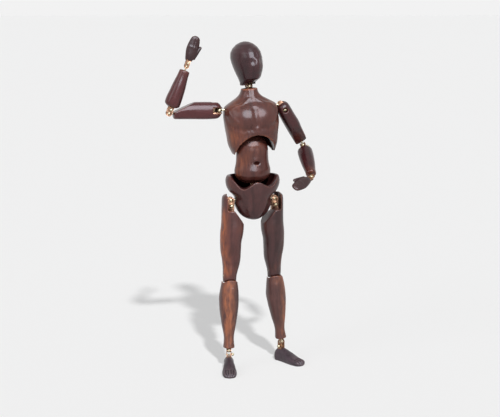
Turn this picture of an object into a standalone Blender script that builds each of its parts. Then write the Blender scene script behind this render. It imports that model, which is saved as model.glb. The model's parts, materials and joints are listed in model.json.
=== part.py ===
"""Artist's jointed lay figure: carved limbs on brass ball joints, posed with one arm raised.

Metres, +Z up. The figure faces -Y, so its right side is at -X. The origin lies on the floor,
below the middle of the whole figure's outline.
"""
import math

import bmesh
import bpy
import numpy as np
from mathutils import Matrix, Vector

# Distances between joint centres
ANKLE_HEIGHT = 0.045
SHANK_LENGTH = 0.178
THIGH_LENGTH = 0.171
HIP_SPREAD = 0.0510
WAIST_RISE = 0.040
WAIST_LENGTH = 0.117
SHOULDER_RISE = 0.048
SHOULDER_SPREAD = 0.071
NECK_RISE = 0.0945
UPPER_ARM_LENGTH = 0.112
ELBOW_DROP = 0.005
FOREARM_LENGTH = 0.108
STEM_SHOW = 0.0085

# Pose: lean angles, turn-outs and the way each limb points
ABDOMEN_LEAN = math.radians(1.0)
CHEST_LEAN = math.radians(4.0)
HEAD_LEAN = math.radians(5.0)
HEAD_TURN = math.radians(19.0)
STANCE = {"right": (-0.0040, 0.0040), "left": (0.0295, 0.0375)}
KNEE_SHIFT = {"right": 0.0, "left": 0.009}
TOE_OUT = {"right": math.radians(-13.0), "left": math.radians(30.0)}
UPPER_ARM_AIM = {"right": (-1.0, 0.0, 0.01), "left": (0.52, 0.10, -0.85)}
FOREARM_AIM = {"right": (0.355, -0.07, 0.935), "left": (-0.085, -0.82, -0.56)}
HAND_AIM = {"right": (0.32, -0.08, 0.94), "left": (-0.795, -0.553, -0.25)}
WRIST_AXIS = {"right": (0.0, -1.0, 0.0), "left": (0.179, -0.607, 0.774)}
SHOULDER_AXIS = {"right": (0.0, 0.0, 1.0), "left": (0.0, -0.983, -0.184)}

# Ball joint hardware
NECK_BALL = 0.0052
WAIST_BALL = 0.0060
SHOULDER_BALL = 0.0060
HIP_BALL = 0.0060
ELBOW_BALL = 0.0050
ANKLE_BALL = 0.0050
WRIST_BALL = 0.0040
STEM_SHARE = 0.42
STEM_REACH = 4.6
SEAT_SHARE = 0.70
CHEEK_SHARE = 0.34
CHEEK_END_SHARE = 1.2
SCREW_REACH = 1.95
SCREW_SHARE = 0.30
KNOB_SHARE = 0.72
SLOT_SHARE = 0.16
SOCKET_REACH = 2.75
YOKE_REACH = 4.2
GAP = 0.0003
RECESS_CLEARANCE = 0.0012

# Head
HEAD_HEIGHT = 0.1005
COLLAR_RISE = 0.003
HEAD_WIDTH = 0.060
HEAD_DEPTH = 0.084
COLLAR_WIDTH = 0.034

# Chest
CHEST_WIDTH = 0.122
CHEST_DEPTH = 0.084
RIB_WIDTH = 0.093
RIB_DROP = 0.052
NECK_WIDTH = 0.035
NECK_TOP = 0.0905
CHEST_WALL = 0.0042
TIP_WIDTH = 0.0012
ARCH_RISE = -0.010
BACK_ARCH_RISE = -0.030
RIB_DEPTH = 0.0815

# Abdomen
BELLY_WIDTH = 0.083
BELLY_DEPTH = 0.062
WAIST_WIDTH = 0.0745
WAIST_DEPTH = 0.058
RIB_FIT_WIDTH = 0.0720
RIB_FIT_DEPTH = 0.058
BELLY_DROP = 0.006
BELLY_RISE = 0.024
CLAMP_CLEARANCE = 0.0018
NAVEL_WIDTH = 0.009

# Pelvis
PELVIS_WIDTH = 0.122
PELVIS_DEPTH = 0.085
WING_RISE = 0.055
CROTCH_DROP = 0.046
CROTCH_WIDTH = 0.018
BOWL_CLEARANCE = 0.0085
BOWL_FLOOR = 0.012
LIP_RISE = 0.048
LIP_DIP = 0.0325
LIP_DIP_SPREAD = 0.032
LIP_DIP_RADIUS = 0.019

# Leg
THIGH_WIDTH = 0.048
THIGH_DEPTH = 0.051
HIP_WALL_RISE = 0.016
HIP_WALL = 0.0095
HIP_BACK_WALL = 0.012
HIP_NOTCH_DEPTH = 0.0215
GROIN_DROP = 0.054
GROIN_REACH = 0.029
GROIN_START = -0.0035
KNEE_WIDTH = 0.031
KNEE_RADIUS = 0.016
KNEE_TONGUE = 0.011
TONGUE_SHARE = 0.66
KNEE_PIN_RADIUS = 0.0025
PIN_INSET = 0.001
KNEE_GAP = 0.0006
CROWN_TILT = math.radians(30.0)
CALF_WIDTH = 0.044
CALF_DEPTH = 0.043
SHANK_NECK_WIDTH = 0.0225
SHANK_FOOT_WIDTH = 0.026
ANKLE_STEM_SHOW = 0.009
FOOT_LENGTH = 0.085
FOOT_WIDTH = 0.033
HEEL_REACH = 0.0165
HEEL_WIDTH = 0.021
TOE_HEIGHT = 0.013
TOE_CUT = 0.0016

# Arm
ARM_WIDTH = 0.038
ARM_DEPTH = 0.032
ARM_CROWN = 0.006
ARM_END_WIDTH = 0.027
ARM_BEVEL = 0.048
ARM_FLANK = 0.0085
FLANK_TILT = math.radians(55.0)
FOREARM_WIDTH = 0.0335
FOREARM_END_WIDTH = 0.0225
HAND_LENGTH = 0.068
HAND_WIDTH = 0.026
HAND_THICKNESS = 0.0125
THUMB_LENGTH = 0.033
THUMB_SPREAD = math.radians(17.0)
THUMB_WIDTH = 0.0085
FINGER_LENGTH = 0.026
FINGER_CUT = 0.0008

# Finish of the wood and of the metal: colour, roughness, metallic
DARK_WOOD = ((0.075, 0.024, 0.022, 1.0), 0.32, 0.0)
RED_WOOD = ((0.130, 0.038, 0.028, 1.0), 0.30, 0.0)
BRASS = ((0.60, 0.47, 0.27, 1.0), 0.32, 1.0)
COPPER = ((0.42, 0.20, 0.11, 1.0), 0.40, 1.0)

SIDES = {"right": -1.0, "left": 1.0}
FAR = 0.2


def finish(name, look):
    colour, roughness, metallic = look
    material = bpy.data.materials.new(name + "_finish")
    material.use_nodes = True
    shader = material.node_tree.nodes["Principled BSDF"]
    shader.inputs["Base Color"].default_value = colour
    shader.inputs["Roughness"].default_value = roughness
    shader.inputs["Metallic"].default_value = metallic
    return material


def as_object(name, mesh_data, matrix):
    mesh = bpy.data.meshes.new(name)
    bmesh.ops.recalc_face_normals(mesh_data, faces=mesh_data.faces)
    mesh_data.to_mesh(mesh)
    mesh_data.free()
    item = bpy.data.objects.new(name, mesh)
    bpy.context.collection.objects.link(item)
    item.matrix_world = matrix
    return item


def piece(name, mesh_data, matrix, look):
    item = as_object(name, mesh_data, matrix)
    item.data.materials.append(finish(name, look))
    return item


def pivot(name, matrix, parent):
    empty = bpy.data.objects.new(name, None)
    empty.empty_display_size = 0.01
    bpy.context.collection.objects.link(empty)
    hang(empty, parent, matrix)
    return empty


def hang(item, parent, matrix=None):
    """Parent an object and keep (or set) its place in the world."""
    bpy.context.view_layer.update()
    place = item.matrix_world.copy() if matrix is None else matrix
    item.parent = parent
    item.matrix_parent_inverse = parent.matrix_world.inverted()
    item.matrix_basis = place
    bpy.context.view_layer.update()


def combine(item, tool, operation="DIFFERENCE"):
    """Cut, join or trim an object with a tool, which is used up."""
    bpy.context.view_layer.update()
    modifier = item.modifiers.new("shape", "BOOLEAN")
    modifier.object = tool
    modifier.operation = operation
    modifier.solver = "EXACT"
    graph = bpy.context.evaluated_depsgraph_get()
    shaped = bpy.data.meshes.new_from_object(item.evaluated_get(graph))
    item.modifiers.clear()
    shaped.materials.clear()
    for material in item.data.materials:
        shaped.materials.append(material)
    shaped.polygons.foreach_set("material_index", [0] * len(shaped.polygons))
    item.data = shaped
    bpy.data.objects.remove(tool)


def shade(item, angle=40.0):
    item.data.shade_smooth()
    item.data.set_sharp_from_angle(angle=math.radians(angle))


def frame(origin, up, side):
    """World matrix at origin with Z along up and X along side, squared to up."""
    z = Vector(up).normalized()
    x = Vector(side)
    x = (x - z * x.dot(z)).normalized()
    matrix = Matrix((x, z.cross(x), z)).transposed().to_4x4()
    matrix.translation = Vector(origin)
    return matrix


def block(low, high, matrix):
    """Box tool between two corners of a frame."""
    data = bmesh.new()
    size = [b - a for a, b in zip(low, high)]
    middle = [(a + b) / 2 for a, b in zip(low, high)]
    place = Matrix.Translation(middle) @ Matrix.Diagonal((*size, 1.0))
    bmesh.ops.create_cube(data, size=1.0, matrix=place)
    return as_object("tool", data, matrix)


def rod(radius, start, end, matrix, segments=16, axis="Z"):
    """Round tool along one axis of a frame, from start to end."""
    data = bmesh.new()
    turns = {"Z": Matrix(), "X": Matrix.Rotation(math.pi / 2, 4, "Y"),
             "Y": Matrix.Rotation(-math.pi / 2, 4, "X")}
    place = turns[axis] @ Matrix.Translation((0.0, 0.0, (start + end) / 2))
    bmesh.ops.create_cone(data, cap_ends=True, segments=segments, radius1=radius, radius2=radius,
                          depth=end - start, matrix=place)
    return as_object("tool", data, matrix)


def ellipsoid(half_sizes, matrix, segments=24, rings=14):
    data = bmesh.new()
    place = Matrix.Diagonal((*half_sizes, 1.0))
    bmesh.ops.create_uvsphere(data, u_segments=segments, v_segments=rings, radius=1.0, matrix=place)
    return as_object("tool", data, matrix)


def cut_plane(point, normal, matrix):
    """Box tool that takes away everything on the normal's side of a plane."""
    normal = Vector(normal).normalized()
    helper = Vector((0.0, 1.0, 0.0)) if abs(normal.y) < 0.9 else Vector((1.0, 0.0, 0.0))
    return block((-FAR, -FAR, 0.0), (FAR, FAR, FAR), matrix @ frame(point, normal, helper))


def section(stations, slopes, z):
    """Half sizes and shifts of a loft at one height, smooth through its stations."""
    heights = stations[:, 0]
    z = min(max(z, heights[0]), heights[-1])
    index = min(int(np.searchsorted(heights, z, side="right")) - 1, len(heights) - 2)
    index = max(index, 0)
    span = heights[index + 1] - heights[index]
    t = (z - heights[index]) / span
    start, end = stations[index], stations[index + 1]
    return ((2 * t**3 - 3 * t**2 + 1) * start + (t**3 - 2 * t**2 + t) * span * slopes[index]
            + (3 * t**2 - 2 * t**3) * end + (t**3 - t**2) * span * slopes[index + 1])


def loft(stations, sides=16, rings=8, top=0.0, bottom=0.0, power=2.2, depth_only=False):
    """Closed skin through (z, half width, half depth, shift x, shift y) stations.

    top and bottom are the heights of the rounded ends, and a flat end has none. With depth_only
    the bottom end is rounded front to back alone, as a hinge's knuckle is.
    """
    stations = np.array(sorted(stations), dtype=float)
    slopes = np.gradient(stations, stations[:, 0], axis=0)
    low, high = stations[0, 0], stations[-1, 0]
    dome = [math.pi / 2 * k / 3 for k in range(1, 4)]
    inner_low, inner_high = low + bottom, high - top
    levels = [(low, 1.0)]
    if bottom:
        levels = [(low + bottom * (1 - math.cos(a)), math.sin(a)) for a in dome]
    levels += [(inner_low + (inner_high - inner_low) * k / rings, 1.0) for k in range(1, rings)]
    if top:
        levels += [(high - top * (1 - math.cos(a)), math.sin(a)) for a in reversed(dome)]
    else:
        levels.append((high, 1.0))
    data = bmesh.new()
    loops = []
    for z, share in levels:
        _, half_width, half_depth, shift_x, shift_y = section(stations, slopes, z)
        knuckle = depth_only and z < inner_low
        wide = half_width if knuckle else half_width * share
        loops.append(ring(data, sides, power, z, wide, half_depth * share, shift_x, shift_y))
    for lower, upper in zip(loops, loops[1:]):
        for k in range(sides):
            data.faces.new((lower[k], lower[(k + 1) % sides], upper[(k + 1) % sides], upper[k]))
    close_end(data, loops[0], low, bottom and not depth_only)
    close_end(data, loops[-1], high, top)
    bmesh.ops.triangulate(data, faces=data.faces)
    return data


def ring(data, sides, power, z, half_width, half_depth, shift_x, shift_y):
    points = []
    for k in range(sides):
        angle = 2 * math.pi * (k + 0.5) / sides
        c, s = math.cos(angle), math.sin(angle)
        x = shift_x + half_width * math.copysign(abs(c) ** (2 / power), c)
        y = shift_y + half_depth * math.copysign(abs(s) ** (2 / power), s)
        points.append(data.verts.new((x, y, z)))
    return points


def close_end(data, loop, z, pole):
    if not pole:
        data.faces.new(loop)
        return
    middle = sum((v.co for v in loop), Vector()) / len(loop)
    tip = data.verts.new((middle.x, middle.y, z))
    for k, vertex in enumerate(loop):
        data.faces.new((vertex, loop[(k + 1) % len(loop)], tip))


def turned(profile, segments=10):
    """Solid of revolution about Z from (radius, z) points that start and end on the axis."""
    data = bmesh.new()
    loops = []
    for radius, z in profile:
        if radius < 1e-7:
            loops.append([data.verts.new((0.0, 0.0, z))])
            continue
        angles = [2 * math.pi * k / segments for k in range(segments)]
        loops.append([data.verts.new((radius * math.cos(a), radius * math.sin(a), z)) for a in angles])
    for lower, upper in zip(loops, loops[1:]):
        for k in range(segments):
            corners = [lower[k % len(lower)], lower[(k + 1) % len(lower)],
                       upper[(k + 1) % len(upper)], upper[k % len(upper)]]
            data.faces.new(list(dict.fromkeys(corners)))
    return data


def ball_stud(name, matrix, radius):
    """Ball with the stem that stands in one limb, along +Z."""
    stem = radius * STEM_SHARE
    neck = math.asin(STEM_SHARE)
    arc = [math.pi - (math.pi - neck) * k / 5 for k in range(6)]
    profile = [(radius * math.sin(a), radius * math.cos(a)) for a in arc]
    profile[0] = (0.0, -radius)
    profile += [(stem, radius * STEM_REACH), (0.0, radius * STEM_REACH)]
    item = piece(name, turned(profile), matrix, BRASS)
    shade(item)
    return item


def cheek_faces(radius):
    """Inner and outer face of a clamp cheek, measured from the ball's middle."""
    inner = radius * math.sqrt(1 - SEAT_SHARE**2) + GAP
    return inner, inner + radius * CHEEK_SHARE


def clamp_yoke(name, matrix, radius):
    """Two cheeks across the ball along X, joined by a bridge at the -Z end."""
    inner, outer = cheek_faces(radius)
    half = radius * CHEEK_END_SHARE
    item = piece(name, round_ended_bar(half, outer, radius * YOKE_REACH), matrix, COPPER)
    combine(item, block((-inner, -FAR, -radius * SOCKET_REACH), (inner, FAR, FAR), matrix))
    combine(item, rod(radius * SEAT_SHARE, -FAR, FAR, matrix, 8, "X"))
    screw_place = matrix @ Matrix.Translation((0.0, 0.0, -radius * SCREW_REACH))
    combine(item, rod(radius * SCREW_SHARE + GAP, -FAR, FAR, screw_place, 6, "X"))
    shade(item)
    return item


def round_ended_bar(half, outer, reach):
    """Flat bar across X with one round end about the origin and a square end at -Z."""
    data = bmesh.new()
    outline = [(half * math.cos(math.pi * k / 6), half * math.sin(math.pi * k / 6)) for k in range(7)]
    outline += [(-half, -reach), (half, -reach)]
    face = data.faces.new([data.verts.new((-outer, y, z)) for y, z in outline])
    grown = bmesh.ops.extrude_face_region(data, geom=[face])
    moved = [v for v in grown["geom"] if isinstance(v, bmesh.types.BMVert)]
    bmesh.ops.translate(data, verts=moved, vec=(2 * outer, 0.0, 0.0))
    return data


def clamp_screw(name, matrix, radius):
    """Slotted ball-headed screw across both cheeks, head at +X."""
    _, outer = cheek_faces(radius)
    shank = radius * SCREW_SHARE
    knob = radius * KNOB_SHARE
    seat = outer + GAP
    rim = math.asin(shank * 1.5 / knob)
    middle = seat + knob * math.cos(rim)
    arc = [math.pi - rim - (math.pi - rim) * k / 5 for k in range(6)]
    profile = [(0.0, -outer - shank), (shank, -outer - shank), (shank, seat)]
    profile += [(knob * math.sin(a), middle + knob * math.cos(a)) for a in arc]
    profile[-1] = (0.0, middle + knob)
    place = matrix @ Matrix.Translation((0.0, 0.0, -radius * SCREW_REACH))
    place = place @ Matrix.Rotation(math.pi / 2, 4, "Y")
    item = piece(name, turned(profile), place, BRASS)
    slot = knob * SLOT_SHARE
    combine(item, block((-slot, -FAR, middle + knob / 2), (slot, FAR, middle + FAR), place))
    shade(item)
    return item


def ball_joint(name, holder, limb, centre, stem_aim, limb_aim, axis, radius):
    """Join limb to holder: the stud stands in the holder, yoke and screw move with the limb."""
    stem_frame = frame(centre, stem_aim, axis)
    yoke_frame = frame(centre, -Vector(limb_aim), axis)
    twist = pivot(name + "_twist_axis", stem_frame, holder.parent)
    swing = pivot(name + "_swing_axis", yoke_frame, twist)
    hang(limb, swing)
    bore = rod(radius * STEM_SHARE + GAP, 0.0, radius * STEM_REACH + GAP, stem_frame, 10)
    combine(holder, bore)
    _, outer = cheek_faces(radius)
    wide = outer + GAP
    deep = radius * CHEEK_END_SHARE + GAP
    combine(limb, block((-wide, -deep, -radius * YOKE_REACH - GAP), (wide, deep, 0.0), yoke_frame))
    hang(ball_stud(name + "_ball_stud", stem_frame, radius), twist)
    hang(clamp_yoke(name + "_clamp_yoke", yoke_frame, radius), swing)
    hang(clamp_screw(name + "_clamp_screw", yoke_frame, radius), swing)
    return yoke_frame


def leaning(angle):
    """Up direction of a part that leans to the figure's right."""
    return Vector((-math.sin(angle), 0.0, math.cos(angle)))


def joint_recess(radius):
    """Radius of the round recess that clears a clamp and its screw head all round."""
    _, outer = cheek_faces(radius)
    return outer + radius * KNOB_SHARE * 2 + RECESS_CLEARANCE


def make_head(matrix):
    half, deep, collar = HEAD_WIDTH / 2, HEAD_DEPTH / 2, COLLAR_WIDTH / 2
    skull = HEAD_HEIGHT - COLLAR_RISE
    levels = [(0.00, collar, collar, 0.09), (0.06, collar, collar * 1.05, 0.07),
              (0.13, half * 0.70, deep * 0.71, -0.16), (0.26, half * 0.84, deep * 0.87, -0.15),
              (0.46, half * 0.97, deep * 0.98, -0.04), (0.66, half, deep, 0.05),
              (0.84, half * 0.97, deep * 0.97, 0.07), (1.00, half * 0.92, deep * 0.92, 0.07)]
    stations = [(COLLAR_RISE + skull * t, w, d, 0.0, deep * y) for t, w, d, y in levels]
    item = piece("head", loft(stations, 14, 7, top=skull * 0.34, power=2.1), matrix, DARK_WOOD)
    roof = NECK_BALL * SOCKET_REACH
    combine(item, rod(joint_recess(NECK_BALL), -FAR, roof, matrix, 14))
    shade(item)
    return item


def make_chest(matrix):
    half, deep, rib, neck = CHEST_WIDTH / 2, CHEST_DEPTH / 2, RIB_WIDTH / 2, NECK_WIDTH / 2
    rise = NECK_TOP - SHOULDER_RISE
    stations = [(-RIB_DROP, rib, RIB_DEPTH / 2, 0.0, 0.0),
                (-RIB_DROP * 0.62, rib * 0.45 + half * 0.55, deep * 0.97, 0.0, 0.0),
                (-RIB_DROP * 0.23, rib * 0.25 + half * 0.75, deep * 0.98, 0.0, -deep * 0.02),
                (SHOULDER_RISE * 0.31, half, deep, 0.0, -deep * 0.07),
                (SHOULDER_RISE * 0.875, half, deep * 0.93, 0.0, -deep * 0.02),
                (SHOULDER_RISE + rise * 0.13, half * 0.94, deep * 0.82, 0.0, deep * 0.02),
                (SHOULDER_RISE + rise * 0.35, half * 0.70, deep * 0.68, 0.0, deep * 0.05),
                (SHOULDER_RISE + rise * 0.58, half * 0.44, deep * 0.56, 0.0, deep * 0.05),
                (SHOULDER_RISE + rise * 0.80, neck * 1.12, neck * 1.12, 0.0, deep * 0.02),
                (NECK_TOP, neck, neck, 0.0, 0.0)]
    item = piece("chest", loft(stations, 18, 11, power=2.4), matrix, RED_WOOD)
    floor = -RIB_DROP - CHEST_WALL / 2
    inside = (rib - CHEST_WALL, RIB_DEPTH / 2 - CHEST_WALL, WAIST_BALL * 1.5 - floor)
    combine(item, ellipsoid(inside, matrix @ Matrix.Translation((0.0, 0.0, floor)), 16, 8))
    combine(item, rod(joint_recess(WAIST_BALL), floor, WAIST_BALL * SOCKET_REACH, matrix, 14))
    for rise, start, end in ((ARCH_RISE, -FAR, 0.0), (BACK_ARCH_RISE, 0.0, FAR)):
        shape = Matrix.Diagonal((rib - TIP_WIDTH, 1.0, rise - floor, 1.0))
        arch = Matrix.Translation((0.0, 0.0, floor)) @ shape
        combine(item, rod(1.0, start, end, matrix @ arch, 16, "Y"))
    cup = (neck * 0.78, neck * 0.78, neck * 0.35)
    combine(item, ellipsoid(cup, matrix @ Matrix.Translation((0.0, 0.0, NECK_TOP)), 10, 5))
    shade(item)
    return item


def make_abdomen(matrix):
    top = WAIST_LENGTH - WAIST_BALL * CHEEK_END_SHARE - CLAMP_CLEARANCE
    belly, waist, rib = BELLY_WIDTH / 2, WAIST_WIDTH / 2, RIB_FIT_WIDTH / 2
    stations = [(-BELLY_DROP, belly, BELLY_DEPTH / 2, 0.0, 0.0),
                (BELLY_RISE, belly, BELLY_DEPTH / 2, 0.0, 0.0),
                (WAIST_LENGTH * 0.37, waist, WAIST_DEPTH / 2, 0.0, 0.0),
                (WAIST_LENGTH * 0.63, rib, RIB_FIT_DEPTH / 2, 0.0, 0.0),
                (top, rib, RIB_FIT_DEPTH / 2, 0.0, 0.0)]
    skin = loft(stations, 16, 5, top=top - WAIST_LENGTH * 0.63, bottom=BELLY_RISE + BELLY_DROP,
                power=2.0)
    item = piece("abdomen", skin, matrix, RED_WOOD)
    combine(item, rod(joint_recess(WAIST_BALL), -FAR, WAIST_BALL * SOCKET_REACH, matrix, 14))
    navel = (NAVEL_WIDTH / 2, NAVEL_WIDTH / 2, NAVEL_WIDTH / 3)
    place = Matrix.Translation((0.0, -WAIST_DEPTH / 2 - NAVEL_WIDTH / 5, WAIST_LENGTH * 0.38))
    combine(item, ellipsoid(navel, matrix @ place, 10, 6))
    shade(item)
    return item


def make_pelvis(matrix):
    half, deep, crotch = PELVIS_WIDTH / 2, PELVIS_DEPTH / 2, CROTCH_WIDTH / 2
    flank = HIP_SPREAD - HIP_BALL * CHEEK_END_SHARE - CLAMP_CLEARANCE
    stations = [(-CROTCH_DROP, crotch, deep * 0.48, 0.0, 0.0),
                (-CROTCH_DROP * 0.86, flank * 0.49, deep * 0.60, 0.0, 0.0),
                (-CROTCH_DROP * 0.64, flank * 0.75, deep * 0.72, 0.0, 0.0),
                (-CROTCH_DROP * 0.43, flank * 0.89, deep * 0.80, 0.0, 0.0),
                (-CROTCH_DROP * 0.22, flank * 0.98, deep * 0.84, 0.0, 0.0),
                (WING_RISE * 0.14, flank, deep * 0.90, 0.0, 0.0),
                (WING_RISE * 0.36, half * 0.88, deep * 0.95, 0.0, 0.0),
                (WING_RISE * 0.68, half, deep, 0.0, 0.0),
                (WING_RISE * 0.86, half, deep, 0.0, 0.0),
                (WING_RISE, half * 0.95, deep * 0.96, 0.0, 0.0)]
    item = piece("pelvis", loft(stations, 18, 8, bottom=CROTCH_WIDTH * 0.4), matrix, RED_WOOD)
    belly = WAIST_RISE + BELLY_RISE
    bowl = (BELLY_WIDTH / 2 + BOWL_CLEARANCE, BELLY_DEPTH / 2 + BOWL_CLEARANCE, BELLY_RISE + BOWL_FLOOR)
    combine(item, ellipsoid(bowl, matrix @ Matrix.Translation((0.0, 0.0, belly)), 16, 10))
    combine(item, block((-LIP_DIP_SPREAD, -FAR, LIP_RISE), (LIP_DIP_SPREAD, -deep * 0.4, FAR), matrix))
    for side in SIDES.values():
        dip = Matrix.Translation((side * LIP_DIP_SPREAD, 0.0, LIP_DIP + LIP_DIP_RADIUS))
        combine(item, rod(LIP_DIP_RADIUS, -FAR, -deep * 0.4, matrix @ dip, 14, "Y"))
    shade(item)
    return item


def make_thigh(name, matrix, medial):
    half, deep, knee = THIGH_WIDTH / 2, THIGH_DEPTH / 2, KNEE_WIDTH / 2
    profile = [(0.11, 0.81, 1.00, 0.98), (0.32, 0.84, 1.27, 1.02), (0.44, 0.92, 1.22, 1.00),
               (0.55, 0.93, 1.07, 0.95), (0.68, 0.88, 1.02, 0.88), (0.81, 0.72, 0.97, 0.78)]
    stations = [(HIP_WALL_RISE, half * 0.80, deep * 0.90, 0.0, 0.0)]
    for t, outer, inner, d in profile:
        shift = medial * half * (inner - outer) / 2
        stations.append((-THIGH_LENGTH * t, half * (outer + inner) / 2, deep * d, shift, 0.0))
    stations += [(-THIGH_LENGTH * 0.94, knee * 1.08, KNEE_RADIUS * 1.10, medial * knee * 0.08, 0.0),
                 (-THIGH_LENGTH, knee, KNEE_RADIUS, 0.0, 0.0),
                 (-THIGH_LENGTH - KNEE_RADIUS, knee, KNEE_RADIUS, 0.0, 0.0)]
    skin = loft(stations, 14, 7, top=HIP_WALL_RISE * 0.75, bottom=KNEE_RADIUS, depth_only=True)
    item = piece(name, skin, matrix, RED_WOOD)
    wall = medial * (HIP_WALL - half * 0.81)
    notch = sorted((wall, medial * FAR))
    combine(item, block((notch[0], -FAR, -HIP_NOTCH_DEPTH), (notch[1], deep - HIP_BACK_WALL, FAR), matrix))
    clear = sorted((medial * GROIN_START, medial * FAR))
    combine(item, block((clear[0], -FAR, -HIP_NOTCH_DEPTH), (clear[1], FAR, FAR), matrix))
    corner = (medial * GROIN_START, 0.0, -HIP_NOTCH_DEPTH)
    slant = (GROIN_REACH - GROIN_START, 0.0, HIP_NOTCH_DEPTH - GROIN_DROP)
    ledge = matrix @ frame(corner, (-slant[2] * medial, 0.0, slant[0]), (slant[0] * medial, 0.0, slant[2]))
    combine(item, block((0.0, -FAR, 0.0), (FAR, FAR, FAR), ledge))
    knee_frame = matrix @ Matrix.Translation((0.0, 0.0, -THIGH_LENGTH))
    slot = KNEE_TONGUE / 2 + KNEE_GAP
    front = -KNEE_RADIUS * TONGUE_SHARE - KNEE_GAP
    combine(item, block((-slot, front, -FAR), (slot, FAR, KNEE_RADIUS), knee_frame))
    combine(item, rod(KNEE_PIN_RADIUS + GAP, -FAR, FAR, knee_frame, 12, "X"))
    shade(item)
    return item


def make_shank(name, matrix, hinge):
    """Shank along its own frame, with its tongue square to the hinge's frame."""
    knee, calf, back = KNEE_WIDTH / 2, CALF_WIDTH / 2, CALF_DEPTH / 2
    end = SHANK_LENGTH - ANKLE_STEM_SHOW
    stations = [(-KNEE_RADIUS * 0.45, knee, KNEE_RADIUS * 1.06, 0.0, 0.0),
                (-SHANK_LENGTH * 0.20, calf * 0.94, back * 0.94, 0.0, back * 0.09),
                (-SHANK_LENGTH * 0.38, calf, back, 0.0, back * 0.19),
                (-SHANK_LENGTH * 0.63, calf * 0.77, back * 0.78, 0.0, back * 0.14),
                (-SHANK_LENGTH * 0.84, SHANK_NECK_WIDTH / 2, SHANK_NECK_WIDTH * 0.53, 0.0, back * 0.05),
                (-end, SHANK_FOOT_WIDTH / 2, SHANK_FOOT_WIDTH / 2, 0.0, 0.0)]
    item = piece(name, loft(stations, 12, 8), matrix, RED_WOOD)
    combine(item, rod(KNEE_RADIUS + KNEE_GAP, -FAR, FAR, hinge, 16, "X"))
    crown = (0.0, -KNEE_RADIUS * 0.2, -KNEE_RADIUS - KNEE_GAP)
    combine(item, cut_plane(crown, (0.0, math.sin(CROWN_TILT), math.cos(CROWN_TILT)), hinge))
    tongue = round_ended_bar(KNEE_RADIUS * TONGUE_SHARE, KNEE_TONGUE / 2, KNEE_RADIUS * 2.2)
    combine(item, as_object("tool", tongue, hinge), "UNION")
    combine(item, rod(KNEE_PIN_RADIUS + GAP, -FAR, FAR, hinge, 12, "X"))
    shade(item)
    return item


def make_foot(name, matrix):
    wide, heel = FOOT_WIDTH / 2, HEEL_WIDTH / 2
    instep = ANKLE_HEIGHT - ANKLE_BALL * SOCKET_REACH
    toe = FOOT_LENGTH - HEEL_REACH
    profile = [(-HEEL_REACH, heel, instep * 0.72), (-HEEL_REACH * 0.3, heel * 1.05, instep * 0.98),
               (HEEL_REACH * 0.3, heel * 1.05, instep), (toe * 0.36, wide * 0.86, instep * 0.80),
               (toe * 0.68, wide, instep * 0.48), (toe, wide * 0.80, TOE_HEIGHT)]
    stations = [(t, w, h * 0.62, 0.0, h * 0.38 - ANKLE_HEIGHT) for t, w, h in profile]
    skin = loft(stations, 12, 6, top=TOE_HEIGHT * 0.8, bottom=HEEL_REACH * 0.4)
    lying = Matrix.Rotation(math.pi / 2, 3, "X")
    bmesh.ops.rotate(skin, verts=skin.verts, cent=(0.0, 0.0, 0.0), matrix=lying)
    item = piece(name, skin, matrix, DARK_WOOD)
    combine(item, block((-FAR, -FAR, -FAR), (FAR, FAR, -ANKLE_HEIGHT), matrix))
    for k in range(4):
        x = (k - 1.5) * FOOT_WIDTH * 0.19
        low = (x - TOE_CUT / 2, -FAR, TOE_HEIGHT * 0.35 - ANKLE_HEIGHT)
        combine(item, block(low, (x + TOE_CUT / 2, -toe * 0.78, FAR), matrix))
    shade(item)
    return item


def make_upper_arm(name, matrix, opening):
    half, deep, end = ARM_WIDTH / 2, ARM_DEPTH / 2, ARM_END_WIDTH / 2
    tip = UPPER_ARM_LENGTH - STEM_SHOW
    stations = [(ARM_CROWN, half * 0.95, deep * 0.95, 0.0, 0.0),
                (-UPPER_ARM_LENGTH * 0.28, half, deep, 0.0, 0.0),
                (-UPPER_ARM_LENGTH * 0.57, half * 0.96, deep * 0.98, 0.0, 0.0),
                (-UPPER_ARM_LENGTH * 0.85, half * 0.78, deep * 0.88, -ELBOW_DROP * 0.6, 0.0),
                (-tip, end, end, -ELBOW_DROP * 0.8, 0.0)]
    skin = loft(stations, 14, 6, top=ARM_CROWN * 2.3, bottom=STEM_SHOW * 0.4)
    item = piece(name, skin, matrix, DARK_WOOD)
    edge = -ELBOW_DROP * 0.6
    combine(item, cut_plane((edge, 0.0, -tip), (ARM_BEVEL, 0.0, edge - half), matrix))
    lean = (0.0, opening * math.sin(FLANK_TILT), math.cos(FLANK_TILT))
    combine(item, cut_plane(Vector(lean) * ARM_FLANK, lean, matrix))
    _, outer = cheek_faces(SHOULDER_BALL)
    wide = outer + GAP
    back = SHOULDER_BALL * CHEEK_END_SHARE + GAP
    slot = sorted((-opening * back, opening * FAR))
    combine(item, block((-wide, slot[0], -SHOULDER_BALL * SOCKET_REACH), (wide, slot[1], FAR), matrix))
    screw = matrix @ Matrix.Translation((0.0, 0.0, -SHOULDER_BALL * SCREW_REACH))
    combine(item, rod(SHOULDER_BALL * KNOB_SHARE + RECESS_CLEARANCE, 0.0, FAR, screw, 14, "X"))
    combine(item, rod(SHOULDER_BALL * SCREW_SHARE + RECESS_CLEARANCE, -half * 0.6, 0.0, screw, 10, "X"))
    shade(item)
    return item


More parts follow.
